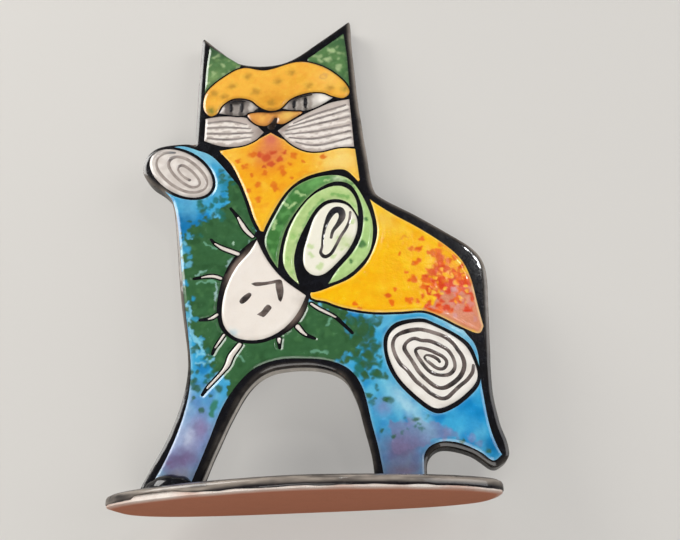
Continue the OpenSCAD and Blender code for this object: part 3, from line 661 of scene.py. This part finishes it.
# Pool node: colour, slot, painter, then the colour, width and strength of its thinner edge
POOLS = {
    "ear_left_field": ("557a4a", "leaf_green", paint_ear_left, ("3d5a3c", 0.7, 0.5)),
    "ear_right_field": ("587f4c", "leaf_green", paint_ear_right, ("35523a", 0.7, 0.5)),
    "brow_field": ("f8b040", "orange_glaze", paint_brow, ("a8742a", 0.6, 0.55)),
    "eye_left_field": ("a9a29b", "eye_white", paint_eye_left, ("4a423d", 0.5, 0.55)),
    "eye_right_field": ("bdb5ad", "eye_white", paint_eye_right, ("4a423d", 0.5, 0.45)),
    "nose_field": ("dd9448", "orange_glaze", paint_nose, ("7c4f26", 0.6, 0.6)),
    "nose_spot": ("231812", "black_line", paint_nose_spot, None),
    "cheek_left_field": ("c2b5ad", "cheek_grey", paint_cheek, ("857a74", 0.5, 0.5)),
    "cheek_right_field": ("c9bcb4", "cheek_grey", paint_cheek, ("857a74", 0.5, 0.5)),
    "chest_field": ("f9ab1c", "chest_yellow", paint_chest, ("ffd36a", 0.5, 0.5)),
    "coat_field": ("369dce", "coat_blue_green", paint_coat, None),
    "shoulder_disc": ("d3c9c1", "shoulder_white", paint_shoulder_disc, ("938983", 0.6, 0.5)),
    "haunch_outer_field": ("3f7539", "leaf_green", paint_haunch_outer, ("cfe0a6", 0.4, 0.3)),
    "haunch_ring_field": ("aecd83", "pale_green", paint_haunch_ring, ("d9e8b5", 0.4, 0.4)),
    "haunch_core_field": ("f4f0de", "core_white", paint_haunch_core, ("8a8a74", 0.35, 0.35)),
    "rump_field": ("fdb702", "rump_yellow", paint_rump, ("ffd873", 0.5, 0.55)),
    "sun_disc": ("f1e8de", "cream_white", paint_sun, ("b5a99e", 0.4, 0.5)),
    "sun_rays": ("eee5db", "cream_white", paint_white, ("b9aea4", 0.35, 0.5)),
    "hind_disc": ("f3eee6", "cream_white", paint_white, ("b9aea4", 0.35, 0.5)),
}
# Stroke node: colour, slot, painter, the pools it lies on
STROKES = {
    "pupil_left": ("1c191c", "black_stroke", paint_pupil, ["eye_left_field"]),
    "pupil_right": ("1c191c", "black_stroke", paint_pupil, ["eye_right_field"]),
    "whiskers": ("8f8681", "grey_stroke", paint_whiskers, ["cheek_left_field", "cheek_right_field"]),
    "shoulder_spiral": ("978c85", "grey_stroke", paint_shoulder_spiral, ["shoulder_disc"]),
    "haunch_swirl": ("1f1c1e", "black_stroke", paint_haunch_swirl, ["haunch_core_field"]),
    "sun_face_marks": ("5a4f4a", "brown_stroke", paint_sun_face, ["sun_disc"]),
    "hind_spiral": ("5c514d", "brown_stroke", paint_hind_spiral, ["hind_disc"]),
}


# ---- Materials ----
# Bump depths are in metres and noise scales in bumps a metre.

def node_material(name):
    material = bpy.data.materials.new(name)
    material.use_nodes = True
    tree = material.node_tree
    return material, tree, tree.nodes["Principled BSDF"]


def set_inputs(node, **values):
    for key, value in values.items():
        node.inputs[key.replace("_", " ")].default_value = value


def add(tree, kind, **values):
    made = tree.nodes.new(kind)
    set_inputs(made, **values)
    return made


def object_noise(tree, scale, detail, roughness):
    """Noise fixed to the object."""
    position = tree.nodes.new("ShaderNodeTexCoord")
    made = add(tree, "ShaderNodeTexNoise", Scale=scale, Detail=detail, Roughness=roughness)
    tree.links.new(position.outputs["Object"], made.inputs["Vector"])
    return made.outputs["Fac"]


def map_range(tree, source, low, high, to_low, to_high):
    made = add(tree, "ShaderNodeMapRange", From_Min=low, From_Max=high, To_Min=to_low, To_Max=to_high)
    tree.links.new(source, made.inputs["Value"])
    return made.outputs["Result"]


def paint_layer(tree):
    made = tree.nodes.new("ShaderNodeVertexColor")
    made.layer_name = "paint"
    return made.outputs["Color"]


def colour4(code):
    return (*linear(code), 1)


def mix(tree, factor, first, second, blend="MIX"):
    """Colour mix. A factor or a colour is either a value or an output to link."""
    made = tree.nodes.new("ShaderNodeMix")
    made.data_type = "RGBA"
    made.blend_type = blend
    for socket, value in ((made.inputs[0], factor), (made.inputs[6], first), (made.inputs[7], second)):
        if isinstance(value, bpy.types.NodeSocket):
            tree.links.new(value, socket)
        else:
            socket.default_value = value
    return made.outputs[2]


def cover(tree, shader, colour, roughness, height, depth, strength):
    """The shader's colour and roughness, with bumps of the given depth where height is high."""
    bumps = add(tree, "ShaderNodeBump", Distance=depth, Strength=strength)
    for output, node, name in ((colour, shader, "Base Color"), (roughness, shader, "Roughness"),
                               (height, bumps, "Height"), (bumps.outputs["Normal"], shader, "Normal")):
        tree.links.new(output, node.inputs[name])


def painted_glaze(name, fine=0.16, roughness=(0.14, 0.28)):
    """Glossy glaze that takes its colour from the paint layer, clouded and finely speckled."""
    material, tree, shader = node_material(name)
    cloud = object_noise(tree, 420, 4, 0.6)
    grain = object_noise(tree, 2600, 3, 0.6)
    clouded = mix(tree, map_range(tree, cloud, 0.35, 0.7, 0, fine * 1.4), paint_layer(tree), (1, 1, 1, 1),
                  "OVERLAY")
    speckled = mix(tree, map_range(tree, grain, 0.55, 0.8, 0, fine), clouded, (0.25, 0.25, 0.25, 1),
                   "MULTIPLY")
    cover(tree, shader, speckled, map_range(tree, cloud, 0.3, 0.7, *roughness), cloud, 0.0004, 0.35)
    set_inputs(shader, Coat_Weight=0.6, Coat_Roughness=0.06, Specular_IOR_Level=0.3)
    return material


def dark_glaze(name, tint, glimmer, cloudy=1.0, roughness=(0.14, 0.34), cloud_scale=260):
    """Glossy glaze, dark where the paint layer is dark, with clouds of tint and fine flecks of glimmer; the
    paint layer's paler edges, partly wear and partly painted reflection, show through.
    """
    material, tree, shader = node_material(name)
    paint = paint_layer(tree)
    cloud = object_noise(tree, cloud_scale, 5, 0.62)
    flecks = object_noise(tree, 900, 3, 0.6)
    toned = mix(tree, map_range(tree, cloud, 0.4, 0.68, 0, cloudy), paint, colour4(tint))
    flecked = mix(tree, map_range(tree, flecks, 0.6, 0.78, 0, 0.45), toned, colour4(glimmer))
    with_wear_and_reflection = mix(tree, 1, flecked, paint, "LIGHTEN")
    cover(tree, shader, with_wear_and_reflection, map_range(tree, cloud, 0.3, 0.7, *roughness), flecks, 0.0003, 0.4)
    set_inputs(shader, Coat_Weight=0.7, Coat_Roughness=0.05, Specular_IOR_Level=0.12)
    return material


def fired_clay(name, painted=False):
    """Bare matt terracotta with paler and darker grains and a smoothed, slightly pitted skin."""
    material, tree, shader = node_material(name)
    cloud = object_noise(tree, 180, 5, 0.6)
    grain = object_noise(tree, 3200, 2, 0.7)
    pits = object_noise(tree, 1400, 4, 0.65)
    toned = mix(tree, map_range(tree, cloud, 0.35, 0.7, 0, 1), colour4("b0725a"), colour4("9d6048"))
    if painted:
        toned = mix(tree, map_range(tree, cloud, 0.3, 0.75, 1, 0.8), toned, paint_layer(tree))
    grained = mix(tree, map_range(tree, grain, 0.55, 0.75, 0, 0.5), toned, colour4("c08a70"))
    pitted = mix(tree, map_range(tree, pits, 0.62, 0.8, 0, 0.5), grained, colour4("6d3d2b"))
    cover(tree, shader, pitted, map_range(tree, pits, 0.3, 0.7, 0.75, 0.95), pits, 0.0003, 0.5)
    set_inputs(shader, Specular_IOR_Level=0.25)
    return material


GLAZE = painted_glaze("painted_glaze")
WHITE_GLAZE = painted_glaze("white_glaze", fine=0.07)
BRUSH = painted_glaze("brushed_glaze", fine=0.2, roughness=(0.2, 0.4))
BLACK = dark_glaze("black_line_glaze", "14161f", "2a2422", 0.6)
RIM = dark_glaze("rim_glaze", "15141a", "332e2c", 0.5)
BACK = dark_glaze("back_glaze", "1f1a1a", "3a332f", cloud_scale=90)
FOOT = dark_glaze("foot_plate_glaze", "2a2320", "776c62", 0.55, (0.2, 0.42), 240)
CLAY = fired_clay("terracotta")
FOOT_CLAY = fired_clay("foot_plate_terracotta", painted=True)
# Pools whose flecks need a finer grid, and the ends of the slots that have the less clouded glaze
FLECKED = ("coat_field", "rump_field", "chest_field")
PLAIN_ENDS = ("white", "grey")


# ---- The cat's glazes ----

SILHOUETTE = longest(outlines("back_glaze", highest=True))
from_silhouette = distance_to([SILHOUETTE])
OUTWARDS = SILHOUETTE - inset(SILHOUETTE, 1)
nearest_rim = kdtree.KDTree(len(SILHOUETTE))
for rim_index, (rim_x, rim_z) in enumerate(SILHOUETTE):
    nearest_rim.insert((rim_x, rim_z, 0), rim_index)
nearest_rim.balance()

# Where the painted pale reflection along the arch's wall fades in and out, from front to back
WALL_BAND = (-1.6, -0.9, 0.9, 1.6)
# The arch between the legs: its top above the foot plate, its middle and its half width
ARCH_TOP = 42
ARCH_MIDDLE = -4
ARCH_REACH = 30
# Depths inside the rim at which a rounded edge has its points
ROLL = (0.03, 0.12, 0.25, COAT)
# Pools start this far below the lines and climb this much more than the step from line to pool
POOL_DIP = 0.06
POOL_CLIMB = 0.08
# A brush mark reaches this far down into its pool
STROKE_ROOT = 0.2


def rounded_edge(depth, half_axes):
    """How far the surface falls back at a depth inside the rim, for an elliptical edge."""
    reach, drop = half_axes
    t = np.clip((reach - depth) / reach, 0, 1)
    return drop * (1 - np.sqrt(1 - t * t))


def wear_and_reflection(places):
    """Colours of the dark glaze: grey-beige where the slab's edges turn, partly thinner glaze and partly a
    painted reflection, and a pale painted reflection along the arch's wall.
    """
    x, y, z = places.T
    flat = places[:, [0, 2]]
    out_x, out_z = np.array([OUTWARDS[nearest_rim.find((*place, 0))[1]] for place in flat]).T
    depth = from_silhouette(flat)
    streaks = 0.5 + 0.9 * ripple(flat, 8, 61) + 0.4 * ripple(flat, 2.2, 62)
    # Thinner glaze and a painted reflection over the front edge, mostly down the upright sides, but less
    # beside the head on the left
    on_left = step_up(-out_x, 0.3, 0.9) * (0.8 - 0.65 * step_up(z, 112, 124))
    to_side = (step_up(out_x, 0.3, 0.9) + on_left) * step_up(z, 35, 65)
    front_turn = bell(depth - 0.3, 0.8) * (1 - step_up(y, CLAY_FRONT + 0.4, CLAY_FRONT + 1.6))
    front = front_turn * (0.2 * streaks + to_side * (0.6 + 0.35 * streaks))
    # A painted pale reflection along the wall of the arch, which goes on to the back where the wall faces
    # down
    in_arch = step_up(BASE_TOP + ARCH_TOP - z, 0, 3) * step_up(ARCH_REACH - np.abs(x - ARCH_MIDDLE), 0, 4)
    down = step_up(-out_z, 0.55, 0.9)
    wall = step_up(y, *WALL_BAND[:2]) * (1 - (1 - down) * step_up(y, *WALL_BAND[2:]))
    reflection_band = in_arch * wall * (1 - step_up(depth, 0.5, 1.1)) * (0.75 + 0.4 * streaks)
    edge_wear_and_reflection = tinted(linear("0c0b0e"), "a1968b", np.clip(front, 0, 0.95))
    return tinted(edge_wear_and_reflection, "e8dfd4", np.clip(reflection_band, 0, 1))


def pool_rise(points, edge, seed):
    """Height of a glaze pool above the clay: low at its edge, then a full round shoulder."""
    swell = 1 - bell(edge + 0.08, 0.6)
    shoulder = 0.07 * bell(edge - 1.1, 0.9)
    waves = 0.05 * ripple(points, 7, seed) + 0.02 * ripple(points, 2.5, seed + 1)
    return LINE - POOL_DIP + (POOL - LINE + POOL_CLIMB) * swell + (shoulder + waves) * swell


pool_shapes = {}


def make_pool(node, seed):
    colour, slot, painter, thinner = POOLS[node]
    loops = outlines(node)
    measure = distance_to(loops)
    pool_shapes[node] = (loops, measure, seed)
    flat, faces = fill(loops, 0.42 if node in FLECKED else 0.55, [inset(loop, 0.4) for loop in loops])
    edge = measure(flat)
    rise = pool_rise(flat, edge, seed)
    finish = WHITE_GLAZE if slot.endswith(PLAIN_ENDS) else GLAZE
    if node == "nose_spot":
        finish = BRUSH
        rise = np.minimum(rise, LINE + 0.05)
    paint = Paint(flat, edge, colour, seed)
    painter(paint)
    if thinner:
        paint.thin_edge(*thinner)
    make_sheets(node.replace("_field", "") + "_glaze", upright(flat, CLAY_FRONT - rise),
                upright(flat, CLAY_FRONT), faces, finish, node, np.tile(paint.colours, (2, 1)))


def make_stroke(node, seed):
    """A brush mark that lies on the surface of its pool and thins out towards its edges."""
    colour, slot, painter, pools = STROKES[node]
    loops = outlines(node)
    flat, faces = fill(loops, 0.3)
    edge = distance_to(loops)(flat)
    ground = np.zeros(len(flat))
    for pool in pools:
        pool_loops, measure, pool_seed = pool_shapes[pool]
        here = inside(flat, pool_loops)
        ground = np.where(here, pool_rise(flat, measure(flat), pool_seed), ground)
    rise = ground + 0.015 + 0.1 * (1 - bell(edge, 0.3))
    paint = Paint(flat, edge, colour, seed)
    painter(paint)
    make_sheets(node + "_brushed", upright(flat, CLAY_FRONT - rise),
                upright(flat, CLAY_FRONT - ground + STROKE_ROOT), faces, BRUSH, node,
                np.tile(paint.colours, (2, 1)))


def make_line_work():
    """The black ground: flat between the pools and rolled over towards the rim."""
    drawn = outlines("line_work")
    outer = longest(drawn)
    loops = [inset(SILHOUETTE, COAT)] + [loop for loop in drawn if loop is not outer]
    flat, faces = fill(loops, 0.9, [inset(SILHOUETTE, depth) for depth in (0.6, 0.9, 1.25, 1.7)])
    rise = LINE - rounded_edge(from_silhouette(flat), FRONT_EDGE) + 0.03 * ripple(flat, 3, 5)
    front = upright(flat, CLAY_FRONT - np.maximum(rise, 0.02))
    back = upright(flat, CLAY_FRONT)
    # The outline of the sun thins to brown next to the disc, on its upper left and its right
    from_sun = distance_to(outlines("sun_disc"))(flat)
    x, z = flat.T
    beside = bell(x + 21, 5) * bell(z - 78, 6) + 0.6 * bell(x + 1, 4) * bell(z - 59, 4)
    thin = np.clip(1.2 * beside * (1 - step_up(from_sun, 0.5, 2.1)), 0, 0.9)
    # Its colours hold thinner glaze and painted reflections over the rounded rim
    colours = tinted(wear_and_reflection(np.concatenate([front, back])), "8d7b71", np.tile(thin, 2))
    make_sheets("black_lines_glaze", front, back, faces, BLACK, "line_work", colours)


def make_rim():
    """Dark glaze over the slab's edge, with soft corners at the front and back."""
    front, back = CLAY_FRONT - LINE, CLAY_BACK + COAT
    section = [(depth, front + rounded_edge(depth, FRONT_EDGE)) for depth in reversed(ROLL)]
    section += [(0, y) for y in (front + FRONT_EDGE[1], *WALL_BAND, back - BACK_EDGE[1])]
    section += [(depth, back - rounded_edge(depth, BACK_EDGE)) for depth in ROLL]
    section += [(COAT, y) for y in np.linspace(CLAY_BACK, CLAY_FRONT, 4)]
    rings = []
    for depth, y in section:
        ring = inset(SILHOUETTE, depth)
        if depth < COAT:
            waves = np.array([noise.noise((x / 6, y / 4, z / 6)) for x, z in SILHOUETTE])
            ring = inset(ring, 0.09 * (1 + waves)[:, None])
        rings.append(upright(ring, y))
    places, faces = band(rings)
    # Its colours hold thinner glaze and painted reflections over the edges, and a painted reflection along
    # the arch's wall
    make("rim_dark_glaze", places, faces, RIM, "rim_glaze", wear_and_reflection(places))


def make_back():
    loops = [inset(SILHOUETTE, COAT)]
    flat, faces = fill(loops, 1.3, [inset(SILHOUETTE, depth) for depth in (0.6, 0.9, 1.3)])
    depth = from_silhouette(flat)
    waves = 0.1 * ripple(flat, 9, 21) + 0.05 * ripple(flat, 3, 22)
    y = CLAY_BACK + COAT - rounded_edge(depth, BACK_EDGE) + step_up(depth, 0.4, 3) * (waves - 0.1)
    front, back = upright(flat, y), upright(flat, CLAY_BACK)
    # Its colours hold thinner glaze and painted reflections over the rounded rim
    make_sheets("back_dark_glaze", front, back, faces, BACK, "back_glaze",
                wear_and_reflection(np.concatenate([front, back])))


# ---- The foot plate ----

FOOT_OUTLINES = outlines("base_glaze", axis=2, highest=True)
FOOT_RIM = longest(FOOT_OUTLINES)
from_foot_rim = distance_to([FOOT_RIM])


def foot_top(flat):
    return BASE_TOP - rounded_edge(from_foot_rim(flat), BASE_EDGE)


def foot_colours(places):
    """Dark glaze with grey-beige streaks over the upper edge, a painted reflection on the rounded edge,
    less so low down at the left.
    """
    flat, height = places[:, :2], places[:, 2]
    to_side = 1 - step_up(from_foot_rim(flat), 0.5, 2.2)
    streaks = np.array([noise.noise((x / 9, y / 9, z / 1.2)) + 0.5 * noise.noise((x / 3, y / 3, z / 0.6))
                        for x, y, z in places])
    lower = 0.9 * step_up(-flat[:, 0], 5, 40)
    amount = np.clip(to_side * step_up(height + lower, 1.7, 2.5) * (0.75 + 0.7 * streaks), 0, 0.95)
    left_end = bell(flat[:, 0] + 52, 5) * (1 - step_up(height, 2.5, 3.5))
    return tinted(linear("17141a"), "a2978c", amount * (1 - 0.8 * left_end))


def make_foot_glaze():
    """The plate's dark glaze: its top, and a rim whose lower edge runs unevenly above the bare clay."""
    loops = [inset(FOOT_RIM, COAT)] + [loop for loop in FOOT_OUTLINES if loop is not FOOT_RIM]
    flat, faces = fill(loops, 1.2, [inset(FOOT_RIM, depth) for depth in (0.7, 1.1, 1.6, 2.3)])
    waves = 0.06 * ripple(flat, 6, 31) * step_up(from_foot_rim(flat), 0.4, 3)
    top = level(flat, foot_top(flat) - 0.06 + waves)
    under = level(flat, foot_top(flat) - COAT)
    plate = (np.concatenate([top, under]), between_sheets(faces, len(flat)))
    section = [(depth, BASE_TOP - rounded_edge(depth, BASE_EDGE)) for depth in (COAT, 0.25, 0.1, 0.02)]
    section += [(0, z) for z in (BASE_TOP - BASE_EDGE[1], 2, 1.5)]
    section += [(0.05, BASE_BARE + 0.25), (0.2, BASE_BARE + 0.05), (COAT, BASE_BARE), (COAT, 2)]
    x, y = FOOT_RIM.T
    bare_patch = step_up(x, -49.5, -47) * step_up(-x, 24, 40) * step_up(-y, 0, 8)
    run = 0.35 * ripple(FOOT_RIM, 9, 33) + 0.15 * ripple(FOOT_RIM, 3, 34) + 1.2 * bare_patch
    rings = []
    for depth, z in section:
        lowered = (run + 0.3) * (1 - step_up(np.array([z]), 1, 2.2))
        rings.append(level(inset(FOOT_RIM, depth), z + lowered))
    places, faces = join(plate, band(rings))
    make("foot_plate_dark_glaze", places, faces, FOOT, "base_glaze", foot_colours(places))


def make_foot_clay():
    """The clay foot plate with a softened lower edge; a pale slip line runs under the glaze."""
    outline = inset(FOOT_RIM, COAT)
    flat, faces = fill([outline], 2.0, [inset(outline, depth) for depth in (0.15, 0.35, 0.7, 1.2, 2)])
    depth = distance_to([outline])(flat)
    bottom = rounded_edge(depth, (0.7, 0.6)) + 0.03 * (1 + ripple(flat, 12, 41)) * step_up(depth, 0.5, 4)
    top = np.minimum(foot_top(flat) - COAT, BASE_CLAY_TOP)
    left_end = step_up(-flat[:, 0], 28, 34) * step_up(-flat[:, 1], 0, 6)
    line = np.clip(1.3 * bell(depth, 0.3 + 0.35 * left_end), 0, 1)
    pale = np.clip(line * (0.75 + 0.5 * ripple(flat, 10, 42) + 0.3 * left_end), 0, 1)
    colours = tinted(linear("c27b5d"), "fbf3ea", pale)
    make_sheets("foot_plate_clay", level(flat, bottom), level(flat, top), faces, FOOT_CLAY, "base_slab",
                np.tile(colours, (2, 1)))


def mound(x0, x1, y, forwards, height, depth, seed):
    """Lump of slip in the corner between a foot and the foot plate."""
    middle, half = (x0 + x1) / 2, (x1 - x0) / 2
    foot = BASE_TOP - 0.15
    across, around = 28, 9
    turns = [math.radians(90 * j / around) for j in range(around + 1)]
    rings = []
    for i in range(across + 1):
        u = -1 + 2 * i / across
        size = max(1 - abs(u) ** 2.4, 0) ** 0.5
        uneven = 1 + 0.18 * noise.noise((u * 3, seed, 0.5))
        x = middle + half * u
        ring = [(x, y + forwards * depth * size * uneven * math.sin(a) ** 0.9,
                 foot + height * size * uneven * math.cos(a) ** 0.9) for a in turns]
        rings.append(np.array(ring + [(x, y, foot)]))
    return band(rings, closed=False)


def make_slips():
    front, back = CLAY_FRONT - 0.35, CLAY_BACK + COAT - 0.1
    # Each lump: its two ends in x, its face in y and the way it faces, height, depth and noise seed
    lumps = {
        "front_foot_slip": [(-47.2, -31.6, front, -1, 4.6, 4.2, 1.5), (-47.5, -31, back, 1, 2.4, 2.4, 2.5)],
        "hind_foot_slip": [(22.3, 38.2, front, -1, 1.6, 1.5, 3.5), (22, 38.6, back, 1, 2.4, 2.4, 4.5)],
    }
    for node, parts in lumps.items():
        places, faces = join(*[mound(*part) for part in parts])
        colours = np.tile(linear("0e0d10"), (len(places), 1))
        make(node + "_lump", places, faces, BLACK, node, colours)


for first_seed, maker, pieces in ((1, make_pool, POOLS), (50, make_stroke, STROKES)):
    for piece_seed, piece_node in enumerate(pieces, first_seed):
        maker(piece_node, piece_seed)
make_line_work()
make_rim()
make_back()
make_foot_glaze()
make_foot_clay()
make_slips()
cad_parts["clay_body"].data.materials.clear()
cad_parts["clay_body"].data.materials.append(CLAY)


# ---- Stage, light and camera ----

def choose_by(tree, factor, first, second, output):
    """The first shader where factor is 0 and the second where it is 1."""
    chosen = tree.nodes.new("ShaderNodeMixShader")
    for socket, source in zip(chosen.inputs, (factor, first.outputs[0], second.outputs[0])):
        tree.links.new(source, socket)
    tree.links.new(chosen.outputs[0], tree.nodes[output].inputs["Surface"])


def one_sided(name, code):
    """Pale surface that shows only from its front, so it never hides the object."""
    material, tree, shader = node_material(name)
    set_inputs(shader, Base_Color=colour4(code), Roughness=0.85, Specular_IOR_Level=0.2,
               Emission_Color=(1, 0.98, 0.95, 1))
    rays = tree.nodes.new("ShaderNodeLightPath")
    shown = map_range(tree, rays.outputs["Is Camera Ray"], 0, 1, 0, 0.3)
    tree.links.new(shown, shader.inputs["Emission Strength"])
    facing = tree.nodes.new("ShaderNodeNewGeometry")
    clear = tree.nodes.new("ShaderNodeBsdfTransparent")
    choose_by(tree, facing.outputs["Backfacing"], shader, clear, "Material Output")
    return material


def sheet(name, corners):
    mesh = bpy.data.meshes.new(name)
    mesh.from_pydata(corners, [], [(0, 1, 2, 3)])
    mesh.materials.append(PALE)
    made = put_in_scene(name, mesh)
    made.visible_shadow = False
    return made


# From here on, lengths are in metres. The figure lies on its back in the photo: the table behind it
# touches the ears and the foot plate's back edge, at EDGE_HEIGHT. MIDDLE is the object's middle.
PALE = one_sided("pale_stage", "a8a5a0")
REACH = 1.6
TABLE_GAP = 0.0006
FLOOR_GAP = 0.0003
EDGE_HEIGHT = 0.003
MIDDLE = Vector((0, 0, 0.09))
foot_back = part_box("base_glaze")[1].y
ears_back, ears_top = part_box("back_glaze")[1].y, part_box("back_glaze")[1].z
lean = (foot_back - ears_back) / (ears_top - EDGE_HEIGHT)


def table_point(x, z):
    return x, foot_back + TABLE_GAP - lean * z, z


SQUARE = ((-REACH, -REACH), (REACH, -REACH), (REACH, REACH), (-REACH, REACH))
sheet("table_behind", [table_point(x, z) for x, z in SQUARE])
floor = sheet("floor_below", [(x, y, -FLOOR_GAP) for x, y in SQUARE])
floor.visible_diffuse = False
floor.visible_glossy = False


def area_light(name, direction, distance, size, watts, colour=(1, 1, 1)):
    """Square soft light that faces the middle of the object."""
    lamp = bpy.data.lights.new(name, "AREA")
    lamp.shape = "SQUARE"
    lamp.size = size
    lamp.energy = watts
    lamp.color = colour
    made = put_in_scene(name, lamp)
    away = Vector(direction).normalized()
    made.location = MIDDLE + away * distance
    made.rotation_euler = (-away).to_track_quat("-Z", "Y").to_euler()


area_light("key_light", (-0.95, -0.6, 0.75), 0.9, 0.5, 7, (1, 0.985, 0.96))
area_light("fill_light", (0.95, -0.55, 0.15), 1.0, 0.7, 4.5, (0.97, 0.98, 1))
area_light("low_light", (-0.1, -0.85, -0.7), 0.9, 0.6, 4, (1, 0.98, 0.95))
area_light("top_light", (0.1, 0.15, 1.0), 0.9, 0.6, 2)
area_light("back_light", (0.4, 0.9, 0.6), 1.0, 0.6, 4)
area_light("glint_light", (0.25, -0.9, 0.45), 0.7, 0.03, 0.35)


def backdrop_world():
    """Faint light from all round, which the camera sees as a plain pale backdrop."""
    world = bpy.data.worlds.new("studio")
    world.use_nodes = True
    tree = world.node_tree
    around = tree.nodes["Background"]
    set_inputs(around, Color=(0.86, 0.86, 0.88, 1), Strength=0.1)
    seen = add(tree, "ShaderNodeBackground", Color=(0.56, 0.55, 0.53, 1))
    rays = tree.nodes.new("ShaderNodeLightPath")
    choose_by(tree, rays.outputs["Is Camera Ray"], around, seen, "World Output")
    return world


bpy.context.scene.world = backdrop_world()
bpy.context.scene.view_settings.view_transform = "Standard"

# The camera's place, turn and lens were fitted to the photo
lens = bpy.data.cameras.new("camera")
lens.sensor_width = 36
lens.lens = 39.4
lens.clip_start = 0.01
camera = put_in_scene("camera", lens)
camera.location = (0.0301, -0.2282, -0.0359)
camera.rotation_euler = Euler([math.radians(angle) for angle in (116.15, 1.5, 4.86)])
bpy.context.scene.camera = camera
